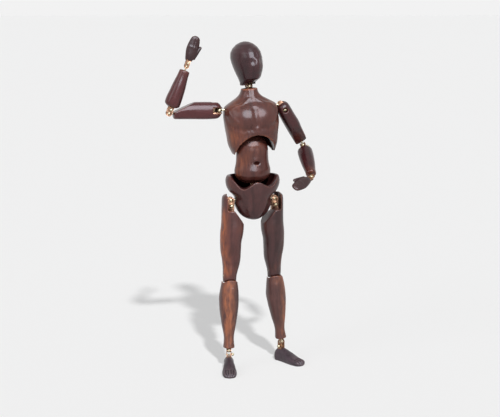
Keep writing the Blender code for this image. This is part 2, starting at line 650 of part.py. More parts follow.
def make_forearm(name, matrix):
    half, end = FOREARM_WIDTH / 2, FOREARM_END_WIDTH / 2
    stations = [(-ELBOW_BALL * SOCKET_REACH, half * 0.97, half * 0.97, 0.0, 0.0),
                (-FOREARM_LENGTH * 0.28, half, half, 0.0, 0.0),
                (-FOREARM_LENGTH * 0.56, half * 0.90, half * 0.90, 0.0, 0.0),
                (-FOREARM_LENGTH * 0.84, end * 1.03, end * 1.03, 0.0, 0.0),
                (STEM_SHOW - FOREARM_LENGTH, end, end, 0.0, 0.0)]
    item = piece(name, loft(stations, 12, 5, top=STEM_SHOW, bottom=STEM_SHOW * 0.3), matrix, DARK_WOOD)
    shade(item)
    return item


def make_hand(name, matrix):
    thick, wide = HAND_THICKNESS / 2, HAND_WIDTH / 2
    start = WRIST_BALL * SOCKET_REACH
    profile = [(0.0, 0.88, 0.54), (0.18, 1.10, 0.76), (0.45, 1.0, 1.0), (0.70, 0.80, 0.94),
               (1.0, 0.62, 0.62)]
    reach = HAND_LENGTH - start
    stations = [(-start - reach * t, thick * x, wide * y, 0.0, 0.0) for t, x, y in profile]
    item = piece(name, loft(stations, 10, 4, top=start * 0.3, bottom=thick), matrix, DARK_WOOD)
    root = FINGER_LENGTH - HAND_LENGTH
    for k in range(3):
        y = (k - 1) * HAND_WIDTH * 0.22
        low = (-FAR, y - FINGER_CUT / 2, -FAR)
        combine(item, block(low, (FAR, y + FINGER_CUT / 2, root), matrix))
    thumb = [(0.0, THUMB_WIDTH * 0.5, THUMB_WIDTH * 0.6, 0.0, 0.0),
             (-THUMB_LENGTH * 0.5, THUMB_WIDTH * 0.5, THUMB_WIDTH * 0.5, 0.0, 0.0),
             (-THUMB_LENGTH, THUMB_WIDTH * 0.36, THUMB_WIDTH * 0.36, 0.0, 0.0)]
    base = matrix @ Matrix.Translation((0.0, -wide * 0.55, -start - reach * 0.12))
    base = base @ Matrix.Rotation(-THUMB_SPREAD, 4, "X")
    tool = as_object("tool", loft(thumb, 6, 2, top=THUMB_WIDTH * 0.3, bottom=THUMB_WIDTH * 0.4), base)
    combine(item, tool, "UNION")
    shade(item)
    return item


def make_knee_pin(name, matrix):
    reach = KNEE_WIDTH / 2 - PIN_INSET
    profile = [(0.0, -reach), (KNEE_PIN_RADIUS, -reach), (KNEE_PIN_RADIUS, reach), (0.0, reach)]
    item = piece(name, turned(profile, 12), matrix @ Matrix.Rotation(math.pi / 2, 4, "Y"), BRASS)
    shade(item)
    return item


def build_leg(side, pelvis, hip_height):
    medial = -SIDES[side]
    hip = Vector((SIDES[side] * HIP_SPREAD, 0.0, hip_height))
    ankle = Vector((hip.x + STANCE[side][0], STANCE[side][1], ANKLE_HEIGHT))
    across = Vector((1.0, 0.0, 0.0))
    straight = hip.lerp(ankle, THIGH_LENGTH / (THIGH_LENGTH + SHANK_LENGTH))
    thigh_aim = straight + across * medial * KNEE_SHIFT[side] - hip
    leg_frame = frame(hip, -thigh_aim, across)
    thigh = make_thigh(side + "_thigh", leg_frame, medial)
    ball_joint(side + "_hip", pelvis, thigh, hip, across * medial, thigh_aim, (0.0, -1.0, 0.0), HIP_BALL)
    knee_frame = leg_frame @ Matrix.Translation((0.0, 0.0, -THIGH_LENGTH))
    shank_aim = ankle - knee_frame.translation
    shank = make_shank(side + "_shank", frame(knee_frame.translation, -shank_aim, across), knee_frame)
    hang(make_knee_pin(side + "_knee_pin", knee_frame), thigh.parent)
    hang(shank, pivot(side + "_knee_axis", knee_frame, thigh.parent))
    foot_frame = Matrix.Translation(ankle) @ Matrix.Rotation(TOE_OUT[side], 4, "Z")
    foot = make_foot(side + "_foot", foot_frame)
    foot_axis = foot_frame.to_3x3() @ Vector((medial, 0.0, 0.0))
    ball_joint(side + "_ankle", shank, foot, ankle, -shank_aim, (0.0, 0.0, -1.0), foot_axis, ANKLE_BALL)


def build_arm(side, chest, chest_frame):
    shoulder = chest_frame @ Vector((SIDES[side] * SHOULDER_SPREAD, 0.0, SHOULDER_RISE))
    inward = chest_frame.to_3x3() @ Vector((-SIDES[side], 0.0, 0.0))
    upper_aim, fore_aim, hand_aim = (Vector(a[side]) for a in (UPPER_ARM_AIM, FOREARM_AIM, HAND_AIM))
    shoulder_axis = Vector(SHOULDER_AXIS[side])
    upper_frame = frame(shoulder, -upper_aim, shoulder_axis)
    upper = make_upper_arm(side + "_upper_arm", upper_frame, -SIDES[side])
    ball_joint(side + "_shoulder", chest, upper, shoulder, inward, upper_aim, shoulder_axis, SHOULDER_BALL)
    elbow = upper_frame @ Vector((-ELBOW_DROP, 0.0, -UPPER_ARM_LENGTH))
    elbow_axis = (-upper_aim).cross(fore_aim)
    fore_frame = frame(elbow, -fore_aim, elbow_axis)
    fore = make_forearm(side + "_forearm", fore_frame)
    ball_joint(side + "_elbow", upper, fore, elbow, -upper_aim, fore_aim, elbow_axis, ELBOW_BALL)
    wrist = fore_frame @ Vector((0.0, 0.0, -FOREARM_LENGTH))
    wrist_axis = Vector(WRIST_AXIS[side])
    hand = make_hand(side + "_hand", frame(wrist, -hand_aim, wrist_axis))
    ball_joint(side + "_wrist", fore, hand, wrist, -fore_aim, hand_aim, wrist_axis, WRIST_BALL)


def build_trunk(figure, hip_height):
    pelvis = make_pelvis(Matrix.Translation((0.0, 0.0, hip_height)))
    hang(pelvis, figure)
    across, ahead = Vector((1.0, 0.0, 0.0)), Vector((0.0, -1.0, 0.0))
    lower = Vector((0.0, 0.0, hip_height + WAIST_RISE))
    abdomen_up, chest_up, head_up = leaning(ABDOMEN_LEAN), leaning(CHEST_LEAN), leaning(HEAD_LEAN)
    abdomen = make_abdomen(frame(lower, abdomen_up, across))
    ball_joint("lower_waist", pelvis, abdomen, lower, (0.0, 0.0, -1.0), abdomen_up, ahead, WAIST_BALL)
    upper = lower + abdomen_up * WAIST_LENGTH
    chest_frame = frame(upper, chest_up, across)
    chest = make_chest(chest_frame)
    ball_joint("upper_waist", abdomen, chest, upper, -abdomen_up, chest_up, across, WAIST_BALL)
    neck = upper + chest_up * NECK_RISE
    facing = Vector((math.cos(HEAD_TURN), math.sin(HEAD_TURN), 0.0))
    head = make_head(frame(neck, head_up, facing))
    ball_joint("neck", chest, head, neck, -chest_up, head_up, facing, NECK_BALL)
    return pelvis, chest, chest_frame


def stand_on_origin(figure):
    """Put the floor and the middle of the outline at the origin."""
    bpy.context.view_layer.update()
    corners = [o.matrix_world @ v.co for o in bpy.data.objects if o.type == "MESH" for v in o.data.vertices]
    points = np.array([tuple(c) for c in corners])
    low, high = points.min(axis=0), points.max(axis=0)
    figure.location = (-(low[0] + high[0]) / 2, -(low[1] + high[1]) / 2, -low[2])
    bpy.context.view_layer.update()


def main():
    for item in list(bpy.data.objects):
        bpy.data.objects.remove(item)
    figure = bpy.data.objects.new("figure", None)
    bpy.context.collection.objects.link(figure)
    leg = THIGH_LENGTH + SHANK_LENGTH
    drops = [math.sqrt(leg**2 - Vector(step).length_squared) for step in STANCE.values()]
    hip_height = ANKLE_HEIGHT + sum(drops) / len(drops)
    pelvis, chest, chest_frame = build_trunk(figure, hip_height)
    for side in SIDES:
        build_leg(side, pelvis, hip_height)
        build_arm(side, chest, chest_frame)
    stand_on_origin(figure)


main()
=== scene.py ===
import json
import math

import bpy
import numpy as np
from mathutils import Matrix, Vector


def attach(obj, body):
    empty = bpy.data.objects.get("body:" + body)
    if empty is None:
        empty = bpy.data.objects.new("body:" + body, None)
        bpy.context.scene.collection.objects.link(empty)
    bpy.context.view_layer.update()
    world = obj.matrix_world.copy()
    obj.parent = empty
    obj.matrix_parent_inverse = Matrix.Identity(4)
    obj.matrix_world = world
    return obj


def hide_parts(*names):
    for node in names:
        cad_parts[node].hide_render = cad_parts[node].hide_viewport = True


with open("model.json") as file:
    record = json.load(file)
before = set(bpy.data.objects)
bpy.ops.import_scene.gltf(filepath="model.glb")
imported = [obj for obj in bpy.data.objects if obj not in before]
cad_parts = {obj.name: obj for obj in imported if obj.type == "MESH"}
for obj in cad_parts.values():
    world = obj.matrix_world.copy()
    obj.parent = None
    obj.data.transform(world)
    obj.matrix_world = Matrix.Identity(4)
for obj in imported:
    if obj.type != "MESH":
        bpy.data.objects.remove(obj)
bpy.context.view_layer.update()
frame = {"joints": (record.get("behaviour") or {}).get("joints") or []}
joints = {j["name"]: j for j in frame["joints"]}
sides = {"right": -1.0, "left": 1.0}
far = 0.3  # past the end of every piece


# places in the figure, taken from its joints
def pointOf(joint):
    return Vector(joints[joint]["pos_m"])


def axisOf(joint):
    return Vector(joints[joint]["axis"])


def placeAt(origin, up, side):
    z = Vector(up).normalized()
    x = Vector(side)
    x = (x - z * x.dot(z)).normalized()
    place = Matrix((x, z.cross(x), z)).transposed().to_4x4()
    place.translation = origin
    return place


# plain bench tools
def enter(mode):
    bpy.ops.object.mode_set(mode=mode)


def putDown():
    if bpy.context.object and bpy.context.object.mode != "OBJECT":
        enter("OBJECT")
    bpy.ops.object.select_all(action="DESELECT")


def pickUp(item):
    putDown()
    item.select_set(True)
    bpy.context.view_layer.objects.active = item


def applyAll(item):
    pickUp(item)
    for modifier in list(item.modifiers):
        bpy.ops.object.modifier_apply(modifier=modifier.name)


def between(stations, count):
    # smooth rings through a few stations: height, half width, half depth and, if off centre, x and y
    table = np.array([(*row, 0, 0)[:5] for row in sorted(stations)], float)
    slopes = np.gradient(table, table[:, 0], axis=0)
    rings = []
    for z in np.linspace(table[0, 0], table[-1, 0], count):
        k = min(max(int(np.searchsorted(table[:, 0], z, side="right")) - 1, 0), len(table) - 2)
        span = table[k + 1, 0] - table[k, 0]
        t = (z - table[k, 0]) / span
        ring = ((2 * t**3 - 3 * t**2 + 1) * table[k] + (t**3 - 2 * t**2 + t) * span * slopes[k]
                + (3 * t**2 - 2 * t**3) * table[k + 1] + (t**3 - t**2) * span * slopes[k + 1])
        ring[0] = z
        rings.append(ring)
    return rings


def roundEnds(rings, top, bottom, flatSides=False):
    # ease the first and last rings into a dome; flatSides keeps the sides of the first one flat
    low, high = rings[0][0], rings[-1][0]
    table = np.array(rings)

    def dome(edge, run, flat):
        shaped = []
        for s in (0.06, 0.2, 0.4, 0.62, 0.82):
            z = edge + run * (1 - math.cos(s * math.pi / 2))
            ring = np.array([np.interp(z, table[:, 0], table[:, c]) for c in range(5)])
            share = math.sin(s * math.pi / 2)
            ring[2] *= share
            if not flat:
                ring[1] *= share
            shaped.append(ring)
        return shaped

    first = dome(low, bottom, flatSides) if bottom else []
    last = dome(high, -top, False) if top else []
    return first + [r for r in rings if low + bottom <= r[0] <= high - top] + last[::-1]


def closeSkin():
    bpy.ops.mesh.select_all(action="SELECT")
    bpy.ops.mesh.normals_make_consistent(inside=False)
    enter("OBJECT")


def raiseRings(name, rings, count=36, square=2.0):
    # a circle is drawn out ring by ring, as on a bench: extrude, move, scale
    putDown()
    bpy.ops.mesh.primitive_circle_add(vertices=count, radius=1.0, fill_type="NGON", location=(0, 0, 0))
    item = bpy.context.object
    item.name = name
    for v in item.data.vertices:
        v.co.x = math.copysign(abs(v.co.x) ** (2 / square), v.co.x)
        v.co.y = math.copysign(abs(v.co.y) ** (2 / square), v.co.y)
    enter("EDIT")
    bpy.ops.mesh.select_all(action="SELECT")
    z, wide, deep, x, y = rings[0]
    bpy.ops.transform.resize(value=(wide, deep, 1.0), center_override=(0, 0, 0))
    bpy.ops.transform.translate(value=(x, y, z))
    for before, ring in zip(rings, rings[1:]):
        step = (ring[3] - before[3], ring[4] - before[4], ring[0] - before[0])
        bpy.ops.mesh.extrude_region_move(TRANSFORM_OT_translate={"value": step})
        bpy.ops.transform.resize(value=(ring[1] / before[1], ring[2] / before[2], 1.0),
                                 center_override=(ring[3], ring[4], ring[0]))
    closeSkin()
    return item


def cutWith(item, tool, operation="DIFFERENCE"):
    pickUp(item)
    modifier = item.modifiers.new("cut", "BOOLEAN")
    modifier.object = tool
    modifier.operation = operation
    modifier.solver = "EXACT"
    bpy.ops.object.modifier_apply(modifier=modifier.name)
    bpy.data.objects.remove(tool)


def boxTool(low, high):
    putDown()
    middle = [(a + b) / 2 for a, b in zip(low, high)]
    bpy.ops.mesh.primitive_cube_add(size=1.0, location=middle)
    tool = bpy.context.object
    tool.scale = [b - a for a, b in zip(low, high)]
    bpy.ops.object.transform_apply()
    return tool


def rodTool(radius, start, end, axis="Z", at=(0, 0, 0), squash=1.0):
    putDown()
    turn = {"X": (0, math.pi / 2, 0), "Y": (-math.pi / 2, 0, 0), "Z": (0, 0, 0)}[axis]
    bpy.ops.mesh.primitive_cylinder_add(vertices=32, radius=radius, depth=end - start)
    tool = bpy.context.object
    tool.data.transform(Matrix.Translation((0, 0, (start + end) / 2)))
    tool.rotation_euler = turn
    bpy.ops.object.transform_apply()
    tool.data.transform(Matrix.Translation(at) @ Matrix.Diagonal((1, 1, squash, 1)))
    return tool


def saw(item, low, high):
    cutWith(item, boxTool(low, high))


def drill(item, *rod):
    cutWith(item, rodTool(*rod))


def ballTool(half, at):
    putDown()
    bpy.ops.mesh.primitive_uv_sphere_add(segments=40, ring_count=24, radius=1.0, location=at)
    tool = bpy.context.object
    tool.scale = half
    bpy.ops.object.transform_apply()
    return tool


def planeTool(point, normal):
    # a big block that takes off all that lies past a plane
    tool = boxTool((-far, -far, 0), (far, far, far))
    normal = Vector(normal).normalized()
    helper = (0, 1, 0) if abs(normal.y) < 0.9 else (1, 0, 0)
    tool.data.transform(placeAt(Vector(point), normal, helper))
    return tool


def ease(item, rounds):
    step = item.modifiers.new("ease", "SMOOTH")
    step.factor = 0.5
    step.iterations = rounds
    applyAll(item)


def soften(item, grain, rounds):
    # even mesh, and edges worn round by handling
    remesh = item.modifiers.new("even", "REMESH")
    remesh.mode = "VOXEL"
    remesh.voxel_size = grain
    ease(item, rounds)
    bpy.ops.object.shade_smooth()


def pointsOf(mesh):
    points = np.empty(len(mesh.vertices) * 3)
    mesh.vertices.foreach_get("co", points)
    return points.reshape(-1, 3)


def carve(item, path, reach, amount):
    # push the skin out or in along its normals, softly, along a line of points
    pickUp(item)
    mesh = item.data
    points = pointsOf(mesh)
    path = np.array(path, float)
    line = [path[0]]
    for a, b in zip(path, path[1:]):
        count = max(int(np.linalg.norm(b - a) / (reach * 0.3)), 1)
        line += [a + (b - a) * k / count for k in range(1, count + 1)]
    chosen = np.zeros(len(points), bool)
    for p in line:
        chosen[np.argmin(((points - p) ** 2).sum(1))] = True
    enter("EDIT")
    bpy.ops.mesh.select_mode(type="VERT")
    bpy.ops.mesh.select_all(action="DESELECT")
    enter("OBJECT")
    mesh.vertices.foreach_set("select", chosen)
    enter("EDIT")
    bpy.ops.transform.shrink_fatten(value=amount, use_proportional_edit=True,
                                    proportional_edit_falloff="SMOOTH", proportional_size=reach)
    enter("OBJECT")


def carveAll(item, strokes, side=1.0):
    # a stroke is its reach, how far it goes out or in, and its line; side mirrors the line
    for reach, amount, path in strokes:
        carve(item, [(side * x, y, z) for x, y, z in path], reach, amount)


def carveWood(item, grain, strokes, side=1.0, bothSides=(), rounds=2):
    soften(item, *grain)
    for half in sides.values():
        carveAll(item, bothSides, half)
    carveAll(item, strokes, side)
    ease(item, rounds)


# how the rubbed wear and the painted shade in hollows and pockets spread
wearAndShadeLook = {
    "ridge": 7.0, "ridgeFrom": 0.25, "groove": 9.0, "grooveFrom": 0.1, "evenings": 3, "spotFade": 1.5,
    "pocketEdge": 1.10, "pocketFade": 12, "cleanEdge": 1.06}


def paintWearAndShade(item, spots, shadePockets=()):
    # red: rubbed places and raised edges; green: painted shade, darker in the hollows and in the deep
    # pockets
    w, mesh = wearAndShadeLook, item.data
    count = len(mesh.vertices)
    points = pointsOf(mesh)
    normals = np.empty(count * 3)
    mesh.vertex_normals.foreach_get("vector", normals)
    normals = normals.reshape(-1, 3)
    edges = np.empty(len(mesh.edges) * 2, int)
    mesh.edges.foreach_get("vertices", edges)
    edges = edges.reshape(-1, 2)
    bend = np.zeros(count)
    links = np.zeros(count)
    step = points[edges[:, 1]] - points[edges[:, 0]]
    length = np.linalg.norm(step, axis=1) + 1e-9
    for a, sign in ((0, 1.0), (1, -1.0)):
        rise = (step * sign * normals[edges[:, a]]).sum(1) / length
        np.add.at(bend, edges[:, a], rise)
        np.add.at(links, edges[:, a], 1.0)
    bend /= np.maximum(links, 1)
    for _ in range(w["evenings"]):
        total = bend.copy()
        np.add.at(total, edges[:, 0], bend[edges[:, 1]])
        np.add.at(total, edges[:, 1], bend[edges[:, 0]])
        bend = total / (links + 1)
    rubbed = np.clip(-bend * w["ridge"] - w["ridgeFrom"], 0, 1)
    # painted shade: hollows darken where the skin bends inward
    hollow = np.clip(bend * w["groove"] - w["grooveFrom"], 0, 1)
    for x, y, z, reach, strength in spots:
        near = np.linalg.norm(points - np.array((x, y, z)), axis=1) / reach
        rubbed += strength * np.clip(1 - near, 0, 1) ** w["spotFade"]
    # painted shade: each deep pocket goes dark inside, and no rubbed wear shows there
    for centre, half in shadePockets:
        inside = np.linalg.norm((points - np.array(centre)) / np.array(half), axis=1)
        hollow = np.maximum(hollow, np.clip((w["pocketEdge"] - inside) * w["pocketFade"], 0, 1))
        rubbed *= inside > w["cleanEdge"]
    layer = mesh.color_attributes.new("wearAndShade", "FLOAT_COLOR", "POINT")
    colours = np.zeros((count, 4), np.float32)
    colours[:, 0] = np.clip(rubbed, 0, 1)
    colours[:, 1] = np.clip(hollow, 0, 1)
    colours[:, 3] = 1.0
    layer.data.foreach_set("color", colours.ravel())


def seat(item, place, body, node, material):
    # finished pieces lie in the figure's own frame, on the body that carries them
    item.data.transform(place)
    item.data.materials.clear()
    item.data.materials.append(material)
    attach(item, body)
    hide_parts(node)


# finishes
def addNode(tree, kind, values=(), **links):
    node = tree.nodes.new(kind)
    for key, value in dict(values).items():
        if key in node.inputs:
            node.inputs[key].default_value = value
        else:
            setattr(node, key, value)
    for key, source in links.items():
        tree.links.new(source, node.inputs[int(key[1:])])
    return node


def feed(tree, socket, value):
    if isinstance(value, bpy.types.NodeSocket):
        tree.links.new(value, socket)
    else:
        socket.default_value = value


def mixColour(tree, amount, first, second):
    node = addNode(tree, "ShaderNodeMix", {"data_type": "RGBA"})
    for socket, value in ((0, amount), (6, first), (7, second)):
        feed(tree, node.inputs[socket], value)
    return node.outputs[2]


def rampOf(tree, source, low, high):
    node = addNode(tree, "ShaderNodeMapRange", {}, _0=source)
    node.inputs[1].default_value = low
    node.inputs[2].default_value = high
    return node.outputs[0]


def mathOf(tree, operation, first, second):
    node = addNode(tree, "ShaderNodeMath", {"operation": operation})
    feed(tree, node.inputs[0], first)
    feed(tree, node.inputs[1], second)
    return node.outputs[0]


def times(tree, first, second):
    return mathOf(tree, "MULTIPLY", first, second)


def newMaterial(name):
    material = bpy.data.materials.new(name)
    material.use_nodes = True
    tree = material.node_tree
    return material, tree, tree.nodes["Principled BSDF"]


def stretched(tree, source, scale):
    node = addNode(tree, "ShaderNodeMapping", {"vector_type": "POINT", "Scale": scale}, _0=source)
    return node.outputs[0]


def noiseOf(tree, source, scale, detail, distortion=0.0):
    node = addNode(tree, "ShaderNodeTexNoise",
                   {"Scale": scale, "Detail": detail, "Distortion": distortion}, _0=source)
    return node.outputs[0]


def addBump(tree, shader, look, height):
    values = {"Strength": look["bump"], "Distance": look["bumpDeep"]}
    bump = addNode(tree, "ShaderNodeBump", values, _2=height)
    tree.links.new(bump.outputs[0], shader.inputs["Normal"])


# stains by piece: streak, ground and rubbed colour, and how matt the varnish has gone; the left thigh and
# left arm are darker copies, painted shade
stainsAndShade = {
    "trunk": ((0.042, 0.011, 0.009), (0.088, 0.025, 0.019), (0.27, 0.078, 0.032), 0.26),
    "shield": ((0.028, 0.008, 0.008), (0.064, 0.020, 0.019), (0.18, 0.052, 0.030), 0.30),
    "head": ((0.020, 0.006, 0.008), (0.044, 0.013, 0.016), (0.14, 0.040, 0.032), 0.24),
    "rightThigh": ((0.052, 0.016, 0.014), (0.098, 0.031, 0.027), (0.31, 0.088, 0.036), 0.32),
    # painted shade: a darker copy of the thigh's wood
    "leftThigh": ((0.026, 0.009, 0.009), (0.055, 0.019, 0.019), (0.17, 0.054, 0.032), 0.30),
    "shank": ((0.050, 0.019, 0.017), (0.102, 0.040, 0.035), (0.29, 0.096, 0.044), 0.34),
    "rightArm": ((0.042, 0.007, 0.008), (0.084, 0.017, 0.018), (0.24, 0.070, 0.034), 0.20),
    # painted shade: a darker copy of the right arm's wood
    "leftArm": ((0.024, 0.005, 0.006), (0.052, 0.011, 0.012), (0.22, 0.062, 0.030), 0.20),
    "hand": ((0.018, 0.006, 0.007), (0.044, 0.014, 0.015), (0.15, 0.052, 0.038), 0.26),
    "foot": ((0.022, 0.012, 0.016), (0.054, 0.034, 0.044), (0.15, 0.098, 0.100), 0.42)}


woodLook = {
    "streak": (75, 75, 5), "pores": (950, 950, 45), "broken": (160, 160, 40), "blotch": 24.0,
    "streakBand": (0.32, 0.68), "poreBand": (0.58, 0.72), "brokenBand": (0.3, 0.62),
    "blotchBand": (0.42, 0.75), "mattBand": (0.35, 0.8), "dark": 0.35, "shadeDepth": 0.85, "poreDark": 0.45,
    "matt": 0.16, "rubbedMatt": 0.18, "streakUp": 0.5, "poreDown": 0.35, "bump": 0.05,
    "bumpDeep": 0.0006, "shine": 0.30, "coat": 0.25, "coatRough": 0.14}


def stainedWoodAndShade(name, place, toneName):
    look = woodLook
    deep, main, worn = ((*tone, 1) for tone in stainsAndShade[toneName][:3])
    gloss = stainsAndShade[toneName][3]
    material, tree, shader = newMaterial(name)
    where = addNode(tree, "ShaderNodeTexCoord").outputs["Object"]
    local = addNode(tree, "ShaderNodeMapping",
                    {"vector_type": "TEXTURE", "Location": place.translation,
                     "Rotation": place.to_euler()}, _0=where).outputs[0]
    streak = noiseOf(tree, stretched(tree, local, look["streak"]), 1.0, detail=6.0, distortion=0.7)
    pores = noiseOf(tree, stretched(tree, local, look["pores"]), 1.0, detail=2.0)
    blotch = noiseOf(tree, local, look["blotch"], detail=3.0, distortion=0.3)
    marks = addNode(tree, "ShaderNodeAttribute", {"attribute_name": "wearAndShade"})
    parts = addNode(tree, "ShaderNodeSeparateColor", {}, _0=marks.outputs["Color"])
    flecks = noiseOf(tree, stretched(tree, local, look["broken"]), 1.0, detail=4.0)
    broken = rampOf(tree, flecks, *look["brokenBand"])
    rubbed = times(tree, parts.outputs[0], broken)
    ground = mixColour(tree, rampOf(tree, streak, *look["streakBand"]), deep, main)
    ground = mixColour(tree, rampOf(tree, blotch, *look["blotchBand"]), ground, main)
    ground = mixColour(tree, rubbed, ground, worn)
    dark = tuple(c * look["dark"] for c in deep[:3]) + (1,)
    # painted shade: the hollows and pockets of the green map go dark
    ground = mixColour(tree, times(tree, parts.outputs[1], look["shadeDepth"]), ground, dark)
    pitted = times(tree, rampOf(tree, pores, *look["poreBand"]), look["poreDark"])
    ground = mixColour(tree, pitted, ground, dark)
    tree.links.new(ground, shader.inputs["Base Color"])
    matt = times(tree, rampOf(tree, blotch, *look["mattBand"]), look["matt"])
    rough = mathOf(tree, "ADD", matt, gloss)
    rough = mathOf(tree, "ADD", rough, times(tree, rubbed, look["rubbedMatt"]))
    tree.links.new(rough, shader.inputs["Roughness"])
    raised = times(tree, streak, look["streakUp"])
    height = mathOf(tree, "SUBTRACT", raised, times(tree, pores, look["poreDown"]))
    addBump(tree, shader, look, height)
    unshaded = mathOf(tree, "SUBTRACT", 1.0, parts.outputs[1])  # no varnish shines in the painted shade of hollows and pockets
    tree.links.new(times(tree, unshaded, look["shine"]), shader.inputs["Specular IOR Level"])
    tree.links.new(times(tree, unshaded, look["coat"]), shader.inputs["Coat Weight"])
    shader.inputs["Coat Roughness"].default_value = look["coatRough"]
    return material


def finishWood(item, place, node, toneName, rubs, shadePockets=()):
    # a wooden piece stands for the node that has the name of its body
    paintWearAndShade(item, rubs, shadePockets)
    stainAndShade = stainedWoodAndShade(item.name.replace("Wood", "StainAndShade"), place, toneName)
    seat(item, place, node, node, stainAndShade)


metals = {
    "brass": {"main": (0.60, 0.53, 0.37, 1), "dull": (0.33, 0.26, 0.16, 1), "rough": 0.28},
    "copper_plate": {"main": (0.34, 0.19, 0.12, 1), "dull": (0.18, 0.095, 0.06, 1), "rough": 0.36},
}
metalLook = {
    "tarnish": 170.0, "scuff": 1500.0, "tarnishBand": (0.45, 0.72), "matt": 0.25, "bump": 0.12,
    "bumpDeep": 0.0002}


def agedMetal(slot):
    tone, look = metals[slot], metalLook
    material, tree, shader = newMaterial(slot + "Metal")
    where = addNode(tree, "ShaderNodeTexCoord").outputs["Object"]
    tarnish = noiseOf(tree, where, look["tarnish"], detail=4.0, distortion=0.4)
    scuff = noiseOf(tree, where, look["scuff"], detail=2.0)
    patches = rampOf(tree, tarnish, *look["tarnishBand"])
    tree.links.new(mixColour(tree, patches, tone["main"], tone["dull"]), shader.inputs["Base Color"])
    rough = mathOf(tree, "ADD", times(tree, patches, look["matt"]), tone["rough"])
    tree.links.new(rough, shader.inputs["Roughness"])
    addBump(tree, shader, look, scuff)
    shader.inputs["Metallic"].default_value = 1.0
    return material


# stage, light and camera
stageLook = {
    "paper": (0.888, 0.888, 0.888, 1), "showThrough": 0.52, "target": (-0.006, 0.0, 0.3712),
    "distance": 2.5, "azimuth": -16.0, "elevation": 10.0, "lens": 80.5, "ambient": 0.24,
    "floorSize": 400.0, "floorDrop": 0.0005, "aimUp": 0.42}
lampLook = {
    "key": {"at": (-0.10, -1.82, 2.08), "spread": 0.05, "power": 3.10, "tint": (1.0, 1.0, 1.0),
            "lit": True, "gloss": False},
    "fill": {"at": (-1.6, -0.7, 1.3), "spread": 0.60, "power": 0.55, "tint": (0.94, 0.97, 1.0),
             "lit": True, "gloss": True},
    "gleam": {"at": (0.10, -1.6, 1.50), "spread": 0.95, "power": 5.6, "tint": (0.85, 0.91, 1.0),
              "lit": False, "gloss": True}}


def seenRay(tree):
    # the pale ground shows to the eye and in polished metal and varnish
    path = addNode(tree, "ShaderNodeLightPath")
    shiny = mathOf(tree, "MAXIMUM", path.outputs["Is Glossy Ray"], path.outputs["Is Transmission Ray"])
    return mathOf(tree, "MAXIMUM", path.outputs["Is Camera Ray"], shiny)


def paleFloor():
    # plain paper: about half its own pale tone, the rest lit, so that the figure's shadow stays
    material, tree, shader = newMaterial("paleFloor")
    shader.inputs["Base Color"].default_value = stageLook["paper"]
    shader.inputs["Roughness"].default_value = 1.0
    shader.inputs["Specular IOR Level"].default_value = 0.0
    glow = addNode(tree, "ShaderNodeEmission", {"Color": stageLook["paper"], "Strength": 1.0})
    share = times(tree, seenRay(tree), stageLook["showThrough"])
    mixed = addNode(tree, "ShaderNodeMixShader", {}, _0=share, _1=shader.outputs[0], _2=glow.outputs[0])
    tree.links.new(mixed.outputs[0], tree.nodes["Material Output"].inputs[0])
    return material


def setStage():
    scene = bpy.context.scene
    hips = (pointOf("right_hip_swing") + pointOf("left_hip_swing")) / 2
    putDown()
    bpy.ops.mesh.primitive_plane_add(size=stageLook["floorSize"], location=(0, 0, -stageLook["floorDrop"]))
    floor = bpy.context.object
    floor.name = "floor"
    floor.data.materials.append(paleFloor())
    a, e = math.radians(stageLook["azimuth"]), math.radians(stageLook["elevation"])
    back = Vector((math.sin(a) * math.cos(e), -math.cos(a) * math.cos(e), math.sin(e)))
    target = Vector((hips.x, hips.y, 0.0)) + Vector(stageLook["target"])
    data = bpy.data.cameras.new("camera")
    data.lens = stageLook["lens"]
    camera = bpy.data.objects.new("camera", data)
    scene.collection.objects.link(camera)
    camera.location = target + back * stageLook["distance"]
    camera.rotation_euler = (-back).to_track_quat("-Z", "Y").to_euler()
    scene.camera = camera
    scene.view_settings.view_transform = "Standard"
    world = bpy.data.worlds.new("studio")
    scene.world = world
    world.use_nodes = True
    tree = world.node_tree
    level = mathOf(tree, "MAXIMUM", seenRay(tree), stageLook["ambient"])
    tree.nodes["Background"].inputs[0].default_value = stageLook["paper"]
    tree.links.new(level, tree.nodes["Background"].inputs[1])
    for name, look in lampLook.items():
        lamp = bpy.data.lights.new(name, "SUN")
        lamp.angle = look["spread"]
        lamp.energy = look["power"]
        lamp.color = look["tint"]
        holder = bpy.data.objects.new(name, lamp)
        scene.collection.objects.link(holder)
        holder.location = look["at"]
        holder.visible_diffuse = look["lit"]
        holder.visible_glossy = look["gloss"]
        aim = Vector(look["at"]) - Vector((0, 0, stageLook["aimUp"]))
        holder.rotation_euler = aim.to_track_quat("Z", "Y").to_euler()


setStage()
print("stage set")


def limbSkin(name, stations, rings, top=0.0, bottom=0.0, square=2.2, flatSides=False, count=36):
    shaped = roundEnds(between(stations, rings), top, bottom, flatSides)
    return raiseRings(name, shaped, count, square)


# radii of the balls and of the bores for their stems
ballSizes = {
    "neck": 0.0052, "waist": 0.0060, "shoulder": 0.0060, "hip": 0.0060,
    "elbow": 0.0050, "ankle": 0.0050, "wrist": 0.0040}
boreSizes = {
    "waist": 0.0029, "shoulder": 0.0029, "hip": 0.0029,
    "elbow": 0.0024, "ankle": 0.0024, "wrist": 0.0020}

# clamp hardware in shares of its ball's radius; ball, play, spare, the edges and the step are lengths
clampShape = {
    "ball": 0.006, "stem": 0.42, "stemFrom": 1.3, "stemReach": 4.6, "seat": 0.70, "cheekIn": 0.764,
    "cheekOut": 1.104, "end": 1.2, "screwAt": -1.95, "screw": 0.30, "knob": 0.72, "slot": 0.16,
    "socket": 2.75, "reach": 4.2, "roomIn": 0.714, "roomCheek": 0.34, "play": 0.0003, "spare": 0.0012,
    "studEdge": 0.00025, "yokeEdge": 0.00035, "screwEdge": 0.00015, "step": 0.0004}


def socketOf(joint):
    return ballSizes[joint] * clampShape["socket"]


def clampRoom(radius):
    # hollow round a clamp: out to its cheeks, and out past its screw head
    c = clampShape
    cheek = radius * c["roomIn"] + c["play"] + radius * c["roomCheek"]
    return cheek, cheek + radius * 2 * c["knob"] + c["spare"]


